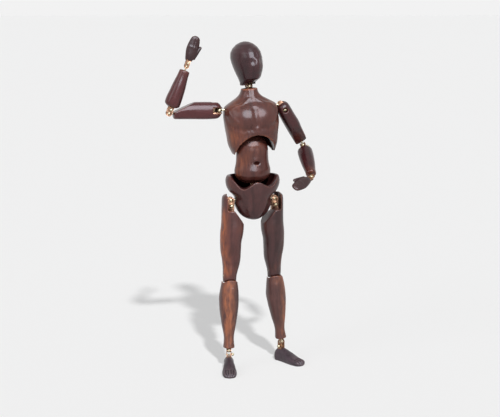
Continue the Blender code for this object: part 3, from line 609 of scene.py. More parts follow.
def cutMortise(item, radius, turn, up=1.0):
    # mortise for the yoke's bridge at the end of a limb
    c = clampShape
    cheek, _ = clampRoom(radius)
    wide, deep = cheek + c["play"], radius * c["end"] + c["play"]
    tool = boxTool((-wide, -deep, -radius * c["reach"]), (wide, deep, 0.0))
    tool.data.transform(turn @ Matrix.Diagonal((1, 1, up, 1)))
    cutWith(item, tool)


def boreBothSides(item, joint, start, up):
    for side in sides.values():
        drill(item, boreSizes[joint], *sorted((side * start, side * far)), "X", (0, 0, up))


headShape = {
    "half": 0.030, "deep": 0.042, "collar": 0.017, "start": 0.003, "height": 0.0950, "crown": 0.34,
    "lean": math.radians(5.0), "grain": (0.0011, 6)}
headStrokes = [
    (0.010, 0.0016, [(0, -0.043, 0.058), (0, -0.043, 0.040)]),  # nose ridge
    (0.011, -0.0014, [(-0.012, -0.040, 0.055), (-0.020, -0.036, 0.054)]),  # eye hollows
    (0.011, -0.0014, [(0.012, -0.040, 0.055), (0.020, -0.036, 0.054)]),
    (0.007, -0.0012, [(0, -0.044, 0.066), (0, -0.040, 0.084)]),  # parting on the brow
    (0.008, -0.0010, [(-0.012, -0.034, 0.027), (0, -0.036, 0.026), (0.012, -0.034, 0.027)]),  # mouth
    (0.012, 0.0016, [(0, -0.033, 0.020)]),  # chin
]


def makeHead():
    h = headShape
    half, deep, collar = h["half"], h["deep"], h["collar"]
    levels = [
        (0.00, collar, collar, 0.09), (0.06, collar, collar * 1.05, 0.07),
        (0.13, half * 0.68, deep * 0.62, -0.07), (0.26, half * 0.82, deep * 0.80, -0.10),
        (0.46, half * 0.97, deep * 0.96, -0.05), (0.66, half, deep, 0.05),
        (0.84, half * 0.97, deep * 0.97, 0.07), (1.00, half * 0.92, deep * 0.92, 0.07)]
    stations = [(h["start"] + h["height"] * t, w, d, 0.0, deep * y) for t, w, d, y in levels]
    item = limbSkin("headWood", stations, 40, top=h["height"] * h["crown"], square=2.1)
    _, room = clampRoom(ballSizes["neck"])
    drill(item, room, -far, socketOf("neck"))
    up = Vector((-math.sin(h["lean"]), 0, math.cos(h["lean"])))
    place = placeAt(pointOf("neck_swing"), up, axisOf("neck_swing"))
    carveWood(item, h["grain"], headStrokes)
    finishWood(item, place, "head", "head", [(0, -0.042, 0.05, 0.03, 0.15)])


chestShape = {
    "half": 0.061, "deep": 0.042, "rib": 0.0465, "ribDeep": 0.04075, "neck": 0.0175, "drop": 0.052,
    "shoulder": 0.048, "top": 0.0905, "wall": 0.0042, "tip": 0.0012, "arch": -0.010,
    "backArch": -0.030, "bayUp": 1.5, "dish": 0.78, "dishDeep": 0.35, "boreFrom": 0.043,
    "grain": (0.0013, 6)}
chestSideStrokes = [
    (0.030, 0.0030, [(0.024, -0.045, 0.035)]),  # breast
    (0.010, -0.0020, [(0.012, -0.045, 0.006), (0.030, -0.044, 0.003), (0.048, -0.034, 0.010)]),  # lower edge
    (0.008, 0.0016, [(0.056, -0.024, 0.045), (0.050, -0.034, 0.031), (0.043, -0.040, 0.020)]),  # outer edge
    (0.011, -0.0018, [(0.058, -0.014, 0.030), (0.054, -0.026, 0.016)]),  # hollow under the arm
    (0.006, 0.0010, [(0.008, -0.026, 0.071), (0.026, -0.030, 0.063), (0.044, -0.026, 0.058)]),  # collar bone
    (0.007, -0.0008, [(0.018, -0.022, 0.074), (0.034, -0.024, 0.066)]),  # hollow above it
    (0.005, 0.0008, [(0.006, -0.0185, 0.088), (0.004, -0.022, 0.076), (0.003, -0.027, 0.068)]),  # neck cord
    (0.026, 0.0018, [(0.024, 0.040, 0.040)]),  # shoulder blade
]
chestStrokes = [
    (0.016, -0.0016, [(0.061, -0.0065, 0.0365)]),  # room for the left upper arm
    (0.009, -0.0018, [(0, -0.046, 0.050), (0, -0.047, 0.030), (0, -0.046, 0.012)]),  # breastbone
    (0.007, 0.0010, [(-0.036, -0.036, -0.026), (-0.018, -0.042, -0.011), (0, -0.043, -0.004),
                     (0.018, -0.042, -0.011), (0.036, -0.036, -0.026)]),  # rib margin
    (0.009, -0.0016, [(0, 0.041, 0.058), (0, 0.042, 0.018), (0, 0.041, -0.017)]),  # spine
]
chestRubs = [
    (-0.056, -0.022, -0.012, 0.052, 0.9), (0.055, -0.02, 0.008, 0.04, 0.35),
    (-0.04, -0.02, 0.061, 0.03, 0.55), (0.045, -0.02, 0.060, 0.03, 0.4),
    (0.0, -0.04, 0.078, 0.03, 0.2)]


def makeChest():
    c, ball = chestShape, ballSizes["waist"]
    half, deep, rib, neck, shoulder = c["half"], c["deep"], c["rib"], c["neck"], c["shoulder"]
    rise = c["top"] - shoulder
    stations = [
        (-c["drop"], rib, c["ribDeep"]),
        (-c["drop"] * 0.62, rib * 0.45 + half * 0.55, deep * 0.97),
        (-c["drop"] * 0.23, rib * 0.25 + half * 0.75, deep * 0.98, 0, -deep * 0.02),
        (shoulder * 0.31, half, deep, 0, -deep * 0.07),
        (shoulder * 0.875, half, deep * 0.93, 0, -deep * 0.02),
        (shoulder + rise * 0.13, half * 0.94, deep * 0.82, 0, deep * 0.02),
        (shoulder + rise * 0.35, half * 0.70, deep * 0.68, 0, deep * 0.05),
        (shoulder + rise * 0.58, half * 0.44, deep * 0.56, 0, deep * 0.05),
        (shoulder + rise * 0.80, neck * 1.12, neck * 1.12, 0, deep * 0.02), (c["top"], neck, neck)]
    item = limbSkin("chestWood", stations, 48, square=2.4, count=48)
    floor = -c["drop"] - c["wall"] / 2
    bay = (rib - c["wall"], c["ribDeep"] - c["wall"], ball * c["bayUp"] - floor)
    cutWith(item, ballTool(bay, (0, 0, floor)))
    _, room = clampRoom(ball)
    drill(item, room, floor, socketOf("waist"))
    wide = rib - c["tip"]
    for top, start, end in ((c["arch"], -far, 0.0), (c["backArch"], 0.0, far)):
        drill(item, wide, start, end, "Y", (0, 0, floor), (top - floor) / wide)
    dish = neck * c["dish"]
    cutWith(item, ballTool((dish, dish, neck * c["dishDeep"]), (0, 0, c["top"])))
    place = placeAt(pointOf("upper_waist_swing"), -axisOf("neck_twist"), (1, 0, 0))
    cutMortise(item, ball, Matrix(), -1.0)
    boreBothSides(item, "shoulder", c["boreFrom"], shoulder)
    carveWood(item, c["grain"], chestStrokes, bothSides=chestSideStrokes)
    turns = [k * math.pi / 8 for k in range(16)]
    rim = [(neck * math.cos(a), neck * math.sin(a), c["top"], 0.0065, 1.3) for a in turns]
    # painted shade: the bay under the chest goes dark inside
    finishWood(item, place, "chest", "trunk", rim + chestRubs, [((0, 0, floor), bay)])


bellyShape = {
    "belly": 0.0415, "bellyDeep": 0.031, "waist": 0.03725, "waistDeep": 0.029, "rib": 0.036,
    "ribDeep": 0.029, "length": 0.117, "drop": 0.006, "rise": 0.024, "gap": 0.0018, "boreDeep": 0.026,
    "navel": 0.012, "navelDeep": 0.0030, "grain": (0.0011, 5)}
bellyStrokes = [
    (0.010, -0.0008, [(0, -0.030, 0.060), (0, -0.028, 0.074)]), (0.026, 0.0012, [(0, -0.031, 0.020)])]
bellyRubs = [
    (-0.034, -0.018, 0.05, 0.034, 0.8), (-0.036, -0.012, 0.02, 0.022, 0.8),
    (0.0, -0.028, 0.08, 0.035, 0.4)]


def makeAbdomen():
    b = bellyShape
    ball, length = ballSizes["waist"], b["length"]
    top = length - ball * clampShape["end"] - b["gap"]
    stations = [
        (-b["drop"], b["belly"], b["bellyDeep"]), (b["rise"], b["belly"], b["bellyDeep"]),
        (length * 0.37, b["waist"], b["waistDeep"]), (length * 0.63, b["rib"], b["ribDeep"]),
        (top, b["rib"], b["ribDeep"])]
    item = limbSkin("abdomenWood", stations, 40, top - length * 0.63, b["rise"] + b["drop"], square=2.0)
    _, room = clampRoom(ball)
    drill(item, room, -far, socketOf("waist"))
    place = placeAt(pointOf("lower_waist_swing"), -axisOf("upper_waist_twist"), (1, 0, 0))
    cutMortise(item, ball, Matrix(), -1.0)
    drill(item, boreSizes["waist"], top - b["boreDeep"], far)
    carveWood(item, b["grain"], bellyStrokes)
    navel, wide = Vector((0.003, -b["waistDeep"], length * 0.38)), b["navel"]
    aside = Vector((wide / 4, 0, 0))
    carve(item, [navel - aside, navel + aside], wide / 2, -b["navelDeep"])
    lowerEdge = (navel.x, navel.y, navel.z - 0.0045, 0.004, 1.2)
    # painted shade: the navel goes dark inside
    navelShade = (navel, (wide * 0.55, 0.010, wide * 0.30))
    finishWood(item, place, "abdomen", "trunk", bellyRubs + [lowerEdge], [navelShade])


pelvisShape = {
    "half": 0.061, "flank": 0.0420, "deep": 0.0425, "wing": 0.055, "drop": 0.046, "crotch": 0.009,
    "lip": 0.0435, "dip": {"right": 0.0280, "left": 0.0320}, "dipAt": 0.031, "lipWide": 0.15,
    "lipDeep": 0.08, "lipBack": 0.45, "lipRun": 0.40, "lipOver": 0.001, "waistUp": 0.040,
    "bowlGap": 0.0092, "bowlFloor": 0.022, "hipBore": 0.023, "waistBore": 0.012, "grain": (0.0012, 6)}
pelvisSideStrokes = [  # flat facets beside the front shield, and its edges
    (0.013, -0.0022, [(0.034, -0.026, -0.004), (0.026, -0.024, -0.018), (0.017, -0.020, -0.034)]),
    (0.007, 0.0010, [(0.024, -0.036, 0.000), (0.016, -0.031, -0.020)]),
]
pelvisStrokes = [(0.024, 0.0012, [(0, -0.039, 0.012)])]
pelvisRubs = [(-0.055, -0.015, 0.035, 0.03, 0.45), (0.055, -0.012, 0.035, 0.03, 0.25)]


def lipTool():
    # takes the front edge down to a wave: a bump in the middle and a dip on either side
    p = pelvisShape
    putDown()
    bpy.ops.mesh.primitive_grid_add(x_subdivisions=64, y_subdivisions=32, size=1.0)
    tool = bpy.context.object
    for v in tool.data.vertices:
        x, y = v.co.x * p["lipWide"], (v.co.y - 0.5) * p["lipDeep"]
        inward = min(abs(x) / p["dipAt"], 1.0)
        outward = min(max((abs(x) - p["dipAt"]) / (p["half"] - p["dipAt"]), 0.0), 1.0)
        dip = p["dip"]["left" if x > 0 else "right"]
        wave = dip + (p["lip"] - dip) * (1 + math.cos(math.pi * inward)) / 2
        wave += (p["wing"] - dip) * outward ** 2 * (3 - 2 * outward)
        back = min(max((y + p["deep"] * p["lipBack"]) / (p["deep"] * p["lipRun"]), 0.0), 1.0)
        v.co = (x, y, wave + (p["wing"] + p["lipOver"] - wave) * back ** 2 * (3 - 2 * back))
    enter("EDIT")
    bpy.ops.mesh.select_all(action="SELECT")
    bpy.ops.mesh.extrude_region_move(TRANSFORM_OT_translate={"value": (0, 0, far)})
    closeSkin()
    return tool


def makePelvis():
    p, b = pelvisShape, bellyShape
    half, deep, drop, wing, flank = p["half"], p["deep"], p["drop"], p["wing"], p["flank"]
    stations = [
        (-drop, p["crotch"], deep * 0.48), (-drop * 0.86, flank * 0.49, deep * 0.60),
        (-drop * 0.64, flank * 0.75, deep * 0.72), (-drop * 0.43, flank * 0.89, deep * 0.80),
        (-drop * 0.22, flank * 0.98, deep * 0.84), (wing * 0.14, flank, deep * 0.90),
        (wing * 0.36, half * 0.88, deep * 0.95), (wing * 0.68, half, deep),
        (wing * 0.86, half, deep), (wing, half * 0.95, deep * 0.96)]
    item = limbSkin("pelvisWood", stations, 40, bottom=p["crotch"] * 0.8, count=48)
    belly = p["waistUp"] + b["rise"]
    bowl = (b["belly"] + p["bowlGap"], b["bellyDeep"] + p["bowlGap"], b["rise"] + p["bowlFloor"])
    cutWith(item, ballTool(bowl, (0, 0, belly)))
    cutWith(item, lipTool())
    boreBothSides(item, "hip", p["hipBore"], 0)
    drill(item, boreSizes["waist"], p["waistBore"], p["waistUp"])
    hips = (pointOf("right_hip_swing") + pointOf("left_hip_swing")) / 2
    place = placeAt(hips, (0, 0, 1), (1, 0, 0))
    carveWood(item, p["grain"], pelvisStrokes, bothSides=pelvisSideStrokes)
    # painted shade: the bowl round the belly goes dark inside
    finishWood(item, place, "pelvis", "shield", pelvisRubs, [((0, 0, belly), bowl)])


legShape = {
    "thigh": 0.171, "half": 0.024, "deep": 0.0255, "wallUp": 0.016, "wall": 0.0095, "backWall": 0.012,
    "notch": 0.0215, "groinDrop": 0.054, "groinReach": 0.029, "groinStart": 0.0045,
    "rearStart": 0.0045, "rearFrom": 0.006, "rearDrop": 0.035, "knee": 0.0155, "knuckle": 0.016,
    "lid": 0.0145, "lidBack": 0.2, "lidLean": (0, 0.5, 0.866), "tongue": 0.0055, "tongueShare": 0.66,
    "tongueRoot": 2.2, "gap": 0.0006, "pin": 0.0025, "pinPlay": 0.0003, "pinShort": 0.001,
    "pinEdge": 0.0003, "shank": 0.178, "calf": 0.022, "calfDeep": 0.0215, "neck": 0.01125,
    "foot": 0.013, "stem": 0.009, "boreDeep": 0.0235, "thighGrain": (0.0012, 3),
    "shankGrain": (0.0011, 2)}
# share of the thigh's length, and how far it swells outward, inward and in depth
thighLevels = (
    (0.11, 0.81, 1.00, 0.98), (0.32, 0.84, 1.27, 1.02), (0.44, 0.92, 1.22, 1.00),
    (0.55, 0.93, 1.07, 0.95), (0.68, 0.88, 1.02, 0.88), (0.81, 0.72, 0.97, 0.78))
thighStrokes = [
    (0.020, 0.0014, [(0.006, -0.025, -0.060), (0.004, -0.023, -0.105)]),  # front muscle
    (0.012, 0.0010, [(0.017, -0.016, -0.110), (0.012, -0.015, -0.140)]),
    (0.010, -0.0009, [(-0.010, -0.019, -0.100), (-0.006, -0.018, -0.145)]),
    (0.012, 0.0009, [(0, -0.017, -0.158)]),  # above the kneecap
    (0.018, 0.0010, [(0, 0.024, -0.075), (0, 0.021, -0.110)]),
]
thighRub = {"right": 0.95, "left": 0.30}
shankStrokes = [
    (0.008, 0.0012, [(0.004, -0.020, -0.030), (0.003, -0.017, -0.085), (0, -0.011, -0.135)]),  # shin
    (0.022, 0.0014, [(0.013, 0.014, -0.058)]),  # calf
    (0.022, 0.0012, [(-0.013, 0.014, -0.050)]),
    (0.009, -0.0008, [(-0.011, -0.012, -0.070), (-0.007, -0.008, -0.120)]),
]
shankRub = {"right": (0.008, 0.019, 0.024), "left": (0.017, 0.009, 0.020)}


def kneePlace(side):
    hip, knee = pointOf(side + "_hip_swing"), pointOf(side + "_knee_bend")
    return placeAt(knee, hip - knee, (1, 0, 0))


def makeThigh(side):
    g, medial = legShape, -sides[side]
    long, half, deep, knee, knuckle = g["thigh"], g["half"], g["deep"], g["knee"], g["knuckle"]
    stations = [(g["wallUp"], half * 0.80, deep * 0.90)]
    for t, outer, inner, d in thighLevels:
        shift = medial * half * (inner - outer) / 2
        stations.append((-long * t, half * (outer + inner) / 2, deep * d, shift, 0))
    stations += [(-long * 0.94, knee * 1.08, knuckle * 1.10, medial * knee * 0.08, 0),
                 (-long, knee, knuckle), (-long - knuckle, knee, knuckle)]
    item = limbSkin(side + "ThighWood", stations, 52, g["wallUp"] * 0.75, knuckle, flatSides=True, count=40)
    inner = sorted((medial * (g["wall"] - half * thighLevels[0][1]), medial * far))
    saw(item, (inner[0], -far, -g["notch"]), (inner[1], deep - g["backWall"], far))
    clear = sorted((medial * g["groinStart"], medial * far))
    saw(item, (clear[0], -far, -g["notch"]), (clear[1], far, far))
    run, fall = g["groinReach"] - g["groinStart"], g["groinDrop"] - g["notch"]
    ledge = boxTool((0, -far, 0), (far, far, far))
    corner = Vector((medial * g["groinStart"], 0, -g["notch"]))
    ledge.data.transform(placeAt(corner, (medial * fall, 0, run), (medial * run, 0, -fall)))
    cutWith(item, ledge)
    rear = sorted((-medial * g["rearStart"], medial * far))  # lets the leg swing back under the pelvis
    saw(item, (rear[0], g["rearFrom"], -g["rearDrop"]), (rear[1], far, far))
    cutMortise(item, ballSizes["hip"], Matrix.Rotation(-math.pi / 2, 4, "Z"))
    slot = g["tongue"] + g["gap"]
    saw(item, (-slot, -knuckle * g["tongueShare"] - g["gap"], -far), (slot, far, knuckle - long))
    drill(item, g["pin"] + g["pinPlay"], -far, far, "X", (0, 0, -long))
    place = kneePlace(side)
    place.translation = pointOf(side + "_hip_swing")
    carveWood(item, g["thighGrain"], thighStrokes, medial)
    rub = thighRub[side] * 1.3
    strip = [(-medial * (0.022 - k * 0.0008), -0.007, -0.030 - k * 0.016, 0.024, rub) for k in range(9)]
    spots = [(medial * 0.022, -0.012, -0.060, 0.030, 0.3), (0, -0.016, -0.160, 0.022, 0.35)]
    # the left thigh takes its darker tone, painted shade
    finishWood(item, place, side + "_thigh", side + "Thigh", strip + spots)


def makeShank(side):
    g, medial = legShape, -sides[side]
    long, calf, back, knee, knuckle = g["shank"], g["calf"], g["calfDeep"], g["knee"], g["knuckle"]
    knees = kneePlace(side)
    ankle = pointOf(side + "_ankle_swing")
    place = placeAt(knees.translation, knees.translation - ankle, (1, 0, 0))
    turn = place.inverted() @ knees
    stations = [
        (-knuckle * 0.45, knee * 1.05, knuckle * 1.06),
        (-long * 0.20, calf * 0.94, back * 0.94, 0, back * 0.09), (-long * 0.38, calf, back, 0, back * 0.19),
        (-long * 0.63, calf * 0.77, back * 0.78, 0, back * 0.14),
        (-long * 0.84, g["neck"], g["neck"] * 1.06, 0, back * 0.05),
        (g["stem"] - long, g["foot"], g["foot"])]
    item = limbSkin(side + "ShankWood", stations, 48, count=40)
    lid = boxTool((-g["lid"], -far, 0), (g["lid"], far, far))
    lid.data.transform(placeAt((0, -knuckle * g["lidBack"], -knuckle - g["gap"]), g["lidLean"], (1, 0, 0)))
    for tool in (rodTool(knuckle + g["gap"], -far, far, "X"), lid):
        tool.data.transform(turn)
        cutWith(item, tool)
    reach = knuckle * g["tongueShare"]
    tongue = boxTool((-g["tongue"], -reach, -knuckle * g["tongueRoot"]), (g["tongue"], reach, 0))
    cutWith(tongue, rodTool(reach, -g["tongue"], g["tongue"], "X"), "UNION")
    tongue.data.transform(turn)
    cutWith(item, tongue, "UNION")
    hole = rodTool(g["pin"] + g["pinPlay"], -far, far, "X")
    hole.data.transform(turn)
    cutWith(item, hole)
    drill(item, boreSizes["ankle"], -long, -long + g["boreDeep"])
    carveWood(item, g["shankGrain"], shankStrokes, medial)
    out, front, reach = shankRub[side]
    fades = [(k, 1 - k * 0.05) for k in range(9)]
    strip = [(-medial * out * fade, -front * fade, -0.020 - k * 0.017, reach, 1.2) for k, fade in fades]
    spots = [(0, -0.016, -0.022, 0.018, 0.5), (medial * 0.012, -0.008, -0.150, 0.024, 0.4)]
    finishWood(item, place, side + "_shank", "shank", strip + spots)


footShape = {
    "up": 0.045, "length": 0.085, "heel": 0.0165, "wide": 0.0165, "heelWide": 0.0105, "toe": 0.013,
    "tall": 0.62, "middle": 0.38, "spare": 0.0004, "toeApart": 0.38, "grain": (0.0009, 4)}
footSideStrokes = [
    (0.009, 0.0008, [(0.011, 0.006, -0.026)]),
    (0.008, -0.0007, [(0.012, -0.016, -0.032), (0.014, -0.032, -0.036)])]
footRubs = [(0, -0.05, -0.030, 0.020, 0.3), (0, 0.016, -0.03, 0.014, 0.3)]


def makeFoot(side):
    f, ball = footShape, ballSizes["ankle"]
    instep, toe = f["up"] - socketOf("ankle"), f["length"] - f["heel"]
    profile = [
        (-f["heel"], f["heelWide"], instep * 0.72), (-f["heel"] * 0.3, f["heelWide"] * 1.05, instep * 0.98),
        (f["heel"] * 0.3, f["heelWide"] * 1.05, instep), (toe * 0.36, f["wide"] * 0.86, instep * 0.80),
        (toe * 0.68, f["wide"], instep * 0.48), (toe, f["wide"] * 0.80, f["toe"])]
    stations = [(t, w, h * f["tall"], 0, h * f["middle"] - f["up"]) for t, w, h in profile]
    item = limbSkin(side + "FootWood", stations, 40, f["toe"] * 0.8, f["heel"] * 0.4)
    item.data.transform(Matrix.Rotation(math.pi / 2, 4, "X"))
    saw(item, (-far, -far, -far), (far, far, -f["up"] - f["spare"]))
    cutMortise(item, ball, Matrix())
    place = placeAt(pointOf(side + "_ankle_swing"), (0, 0, 1), axisOf(side + "_ankle_swing") * -sides[side])
    soften(item, *f["grain"])
    for half in sides.values():
        carveAll(item, footSideStrokes, half)
    for k in range(4):  # between the toes
        x = (k - 1.5) * f["wide"] * f["toeApart"]
        line = [(x, -toe * 0.72, -0.0295), (x, -toe * 0.92, -0.032), (x, -toe * 1.10, -0.037)]
        carve(item, line, 0.0034, -0.0020)
    saw(item, (-far, -far, -far), (far, far, -f["up"]))
    bpy.ops.object.shade_smooth_by_angle(angle=math.radians(50))
    finishWood(item, place, side + "_foot", "foot", footRubs)


armShape = {
    "upper": 0.112, "half": 0.019, "deep": 0.016, "crown": 0.006, "end": 0.0135, "bevel": 0.048,
    "flank": 0.0085, "tilt": math.radians(55.0), "drop": 0.005, "stem": 0.0085, "boreDeep": 0.0235,
    "fore": 0.108, "foreHalf": 0.01675, "foreEnd": 0.01125, "foreBore": 0.019, "grain": (0.0010, 4)}
upperArmGroove = (0.010, -0.0007, [(-0.006, 0.014, -0.060), (-0.006, 0.013, -0.085)])
upperArmRubs = [(0, 0, 0.0, 0.020, 0.3), (0.008, 0, -0.085, 0.018, 0.35)]
forearmStrokes = [
    (0.020, 0.0010, [(0, 0.016, -0.030)]),
    (0.010, -0.0006, [(0.010, -0.008, -0.060), (0.007, -0.006, -0.085)])]
forearmRub = {"right": 0.4, "left": 0.9}


def makeUpperArm(side):
    a, c, ball, opening = armShape, clampShape, ballSizes["shoulder"], -sides[side]
    long, half, deep, swing = a["upper"], a["half"], a["deep"], side + "_shoulder_swing"
    tip = long - a["stem"]
    stations = [
        (a["crown"], half * 0.95, deep * 0.95), (-long * 0.28, half, deep),
        (-long * 0.57, half * 0.96, deep * 0.98),
        (-long * 0.85, half * 0.78, deep * 0.88, -a["drop"] * 0.6, 0),
        (-tip, a["end"], a["end"], -a["drop"] * 0.8, 0)]
    item = limbSkin(side + "UpperArmWood", stations, 44, a["crown"] * 2.3, a["stem"] * 0.4)
    edge = -a["drop"] * 0.6
    cutWith(item, planeTool((edge, 0, -tip), (a["bevel"], 0, edge - half)))
    lean = Vector((0, opening * math.sin(a["tilt"]), math.cos(a["tilt"])))
    cutWith(item, planeTool(lean * a["flank"], lean))
    cheek, _ = clampRoom(ball)
    wide, back = cheek + c["play"], ball * c["end"] + c["play"]
    slot = sorted((-opening * back, opening * far))
    saw(item, (-wide, slot[0], -socketOf("shoulder")), (wide, slot[1], far))
    screwAt = (0, 0, ball * c["screwAt"])
    drill(item, ball * c["knob"] + c["spare"], 0.0, far, "X", screwAt)
    drill(item, ball * c["screw"] + c["spare"], -half * 0.6, 0.0, "X", screwAt)
    cutMortise(item, ball, Matrix())
    drill(item, boreSizes["elbow"], -long, -long + a["boreDeep"], "Z", (-a["drop"], 0, 0))
    place = placeAt(pointOf(swing), axisOf(side + "_elbow_twist"), axisOf(swing))
    swell = (0.022, 0.0010, [(0.004, -opening * 0.014, -0.050)])
    carveWood(item, a["grain"], [swell, upperArmGroove], rounds=1)
    # the left arm takes its darker tone, painted shade
    finishWood(item, place, side + "_upper_arm", side + "Arm", upperArmRubs)


def makeForearm(side):
    a, long, swing = armShape, armShape["fore"], side + "_elbow_swing"
    half, end = a["foreHalf"], a["foreEnd"]
    levels = [
        (-socketOf("elbow"), half * 0.97), (-long * 0.28, half), (-long * 0.56, half * 0.90),
        (-long * 0.84, end * 1.03), (a["stem"] - long, end)]
    stations = [(z, radius, radius, 0, 0) for z, radius in levels]
    item = limbSkin(side + "ForearmWood", stations, 40, a["stem"], a["stem"] * 0.3)
    cutMortise(item, ballSizes["elbow"], Matrix())
    drill(item, boreSizes["wrist"], -long, -long + a["foreBore"])
    place = placeAt(pointOf(swing), axisOf(side + "_wrist_twist"), axisOf(swing))
    carveWood(item, a["grain"], forearmStrokes, rounds=1)
    rubs = [(0, 0, -0.100, 0.026, forearmRub[side]), (0, 0, -0.014, 0.018, 0.25)]
    # the left arm takes its darker tone, painted shade
    finishWood(item, place, side + "_forearm", side + "Arm", rubs)


handShape = {
    "length": 0.068, "wide": 0.013, "thick": 0.00625, "fingers": 0.026, "cut": 0.0010, "apart": 0.44,
    "thumb": 0.033, "thumbWide": 0.0085, "spread": math.radians(17.0), "grain": (0.0006, 3),
    "aim": {"right": (0.32, -0.08, 0.94), "left": (-0.795, -0.553, -0.25)}}
# share of the hand's length, and how thick and how wide it is there
handLevels = ((0.0, 0.88, 0.54), (0.18, 1.10, 0.76), (0.45, 1.0, 1.0), (0.70, 0.80, 0.94), (1.0, 0.62, 0.62))


def makeHand(side):
    h, start, swing = handShape, socketOf("wrist"), side + "_wrist_swing"
    reach = h["length"] - start
    stations = [(-start - reach * t, h["thick"] * x, h["wide"] * y, 0, 0) for t, x, y in handLevels]
    item = limbSkin(side + "HandWood", stations, 40, start * 0.3, h["thick"])
    root, cut = h["fingers"] - h["length"], h["cut"] / 2
    for k in range(3):
        y = (k - 1) * h["wide"] * h["apart"]
        saw(item, (-far, y - cut, -far), (far, y + cut, root))
    w = h["thumbWide"]
    thumb = limbSkin("thumb", [(0, w * 0.5, w * 0.6), (-h["thumb"] * 0.5, w * 0.5, w * 0.5),
                               (-h["thumb"], w * 0.36, w * 0.36)], 20, w * 0.3, w * 0.4)
    base = Matrix.Translation((0, -h["wide"] * 0.55, -start - reach * 0.12))
    thumb.data.transform(base @ Matrix.Rotation(-h["spread"], 4, "X"))
    cutWith(item, thumb, "UNION")
    cutMortise(item, ballSizes["wrist"], Matrix())
    place = placeAt(pointOf(swing), -Vector(h["aim"][side]), axisOf(swing))
    soften(item, *h["grain"])
    for k in range(4):  # knuckles
        carve(item, [(h["thick"], (k - 1.5) * h["wide"] * h["apart"], -0.043)], 0.0045, 0.0005)
    carve(item, [(-h["thick"], 0, -0.034)], 0.011, -0.0010)  # palm
    finishWood(item, place, side + "_hand", "hand", [(0, 0, -0.066, 0.012, 0.3)])


# clamp hardware, made once at one size and copied to all thirteen balls
def turnedPiece(name, profile):
    return raiseRings(name, [(z, r, r, 0, 0) for r, z in profile], 32)


def roundEdges(item, width):
    bevel = item.modifiers.new("edge", "BEVEL")
    bevel.width = width
    bevel.segments = 2
    bevel.limit_method = "ANGLE"
    bevel.angle_limit = math.radians(40)
    applyAll(item)
    bpy.ops.object.shade_smooth_by_angle(angle=math.radians(35))


def makeStud():
    c = clampShape
    r, pole, neck = c["ball"], math.pi - 0.06, math.asin(c["stem"])
    arc = [pole - (pole - neck) * k / 14 for k in range(15)]
    profile = [(r * math.sin(a), r * math.cos(a)) for a in arc]
    profile += [(r * c["stem"], r * c["stemFrom"]), (r * c["stem"], r * c["stemReach"])]
    item = turnedPiece("ballStud", profile)
    roundEdges(item, c["studEdge"])
    return item


def makeYoke():
    c = clampShape
    r = c["ball"]
    out, half = r * c["cheekOut"], r * c["end"]
    item = boxTool((-out, -half, -r * c["reach"]), (out, half, 0))
    cutWith(item, rodTool(half, -out, out, "X"), "UNION")
    saw(item, (-r * c["cheekIn"], -far, -r * c["socket"]), (r * c["cheekIn"], far, far))
    drill(item, r * c["seat"], -far, far, "X")
    drill(item, r * c["screw"] + c["play"], -far, far, "X", (0, 0, r * c["screwAt"]))
    roundEdges(item, c["yokeEdge"])
    return item


def makeScrew():
    c = clampShape
    r = c["ball"]
    shank, knob, seatAt = r * c["screw"], r * c["knob"], r * c["cheekOut"] + c["play"]
    rim = math.asin(shank * 1.5 / knob)
    middle = seatAt + knob * math.cos(rim)
    arc = [math.pi - rim - (math.pi - rim - 0.08) * k / 12 for k in range(13)]
    profile = [(shank * 0.8, -seatAt - shank), (shank, -seatAt - shank * 0.7), (shank, seatAt - c["step"])]
    profile += [(knob * math.sin(a), middle + knob * math.cos(a)) for a in arc]
    item = turnedPiece("clampScrew", profile)
    slot = knob * c["slot"]
    saw(item, (-slot, -far, middle + knob / 2), (slot, far, middle + far))
    roundEdges(item, c["screwEdge"])
    item.data.transform(Matrix.Translation((0, 0, r * c["screwAt"])) @ Matrix.Rotation(math.pi / 2, 4, "Y"))
    return item


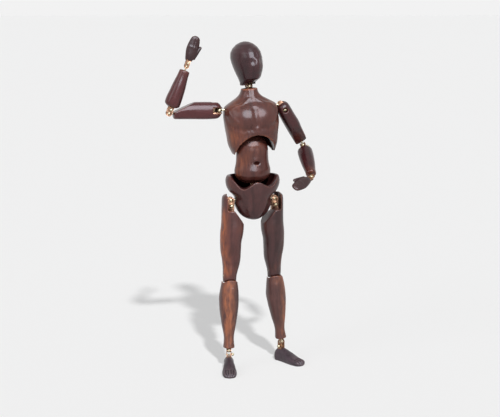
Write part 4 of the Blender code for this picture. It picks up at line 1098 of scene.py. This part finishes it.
# the limb that carries each clamp
clampHomes = {"neck": "head", "upper_waist": "chest", "lower_waist": "abdomen"}
limbAfter = {"shoulder": "upper_arm", "elbow": "forearm", "wrist": "hand", "hip": "thigh", "ankle": "foot"}
twistAfter = {"upper_waist": "neck", "lower_waist": "upper_waist"}
for side in sides:
    clampHomes.update({side + "_" + joint: side + "_" + limb for joint, limb in limbAfter.items()})
    twistAfter.update({side + "_shoulder": side + "_elbow", side + "_elbow": side + "_wrist"})


def limbUp(name):
    # from the limb that carries a clamp toward its ball
    side, _, joint = name.rpartition("_")
    if name in twistAfter:
        return axisOf(twistAfter[name] + "_twist")
    if name == "neck":
        lean = headShape["lean"]
        return Vector((math.sin(lean), 0, -math.cos(lean)))
    if joint == "wrist":
        return -Vector(handShape["aim"][side])
    if joint == "hip":
        return pointOf(side + "_hip_swing") - pointOf(side + "_knee_bend")
    return Vector((0, 0, 1))


def makeHardware():
    brass, copper = agedMetal("brass"), agedMetal("copper_plate")
    masters = {
        "ball_stud": (makeStud(), "brass", brass), "clamp_yoke": (makeYoke(), "copper_plate", copper),
        "clamp_screw": (makeScrew(), "brass", brass)}
    for name, limb in clampHomes.items():
        size = ballSizes[name.split("_")[-1]] / clampShape["ball"]
        centre, swing = pointOf(name + "_swing"), axisOf(name + "_swing")
        stemPlace = placeAt(centre, axisOf(name + "_twist"), swing)
        limbPlace = placeAt(centre, limbUp(name), swing)
        for kind, (master, slot, material) in masters.items():
            item = master.copy()
            item.data = master.data.copy()
            item.name = name + "_" + kind + "_metal"
            bpy.context.scene.collection.objects.link(item)
            item.data.transform(Matrix.Diagonal((size, size, size, 1)))
            body = name + "_stud" if kind == "ball_stud" else limb
            place = stemPlace if kind == "ball_stud" else limbPlace
            seat(item, place, body, name + "_" + kind, material)
    for master, _, _ in masters.values():
        bpy.data.objects.remove(master)
    for side in sides:
        reach = legShape["knee"] - legShape["pinShort"]
        pin = rodTool(legShape["pin"], -reach, reach, "X")
        pin.name = side + "KneePin"
        roundEdges(pin, legShape["pinEdge"])
        seat(pin, kneePlace(side), side + "_thigh", side + "_knee_pin", brass)


print("bench tools ready")
makeHead()
makeChest()
makeAbdomen()
makePelvis()
print("trunk carved")
for side in sides:
    makeThigh(side)
    makeShank(side)
    makeFoot(side)
print("legs carved")
for side in sides:
    makeUpperArm(side)
    makeForearm(side)
    makeHand(side)
print("arms carved")
makeHardware()
print("hardware fitted")
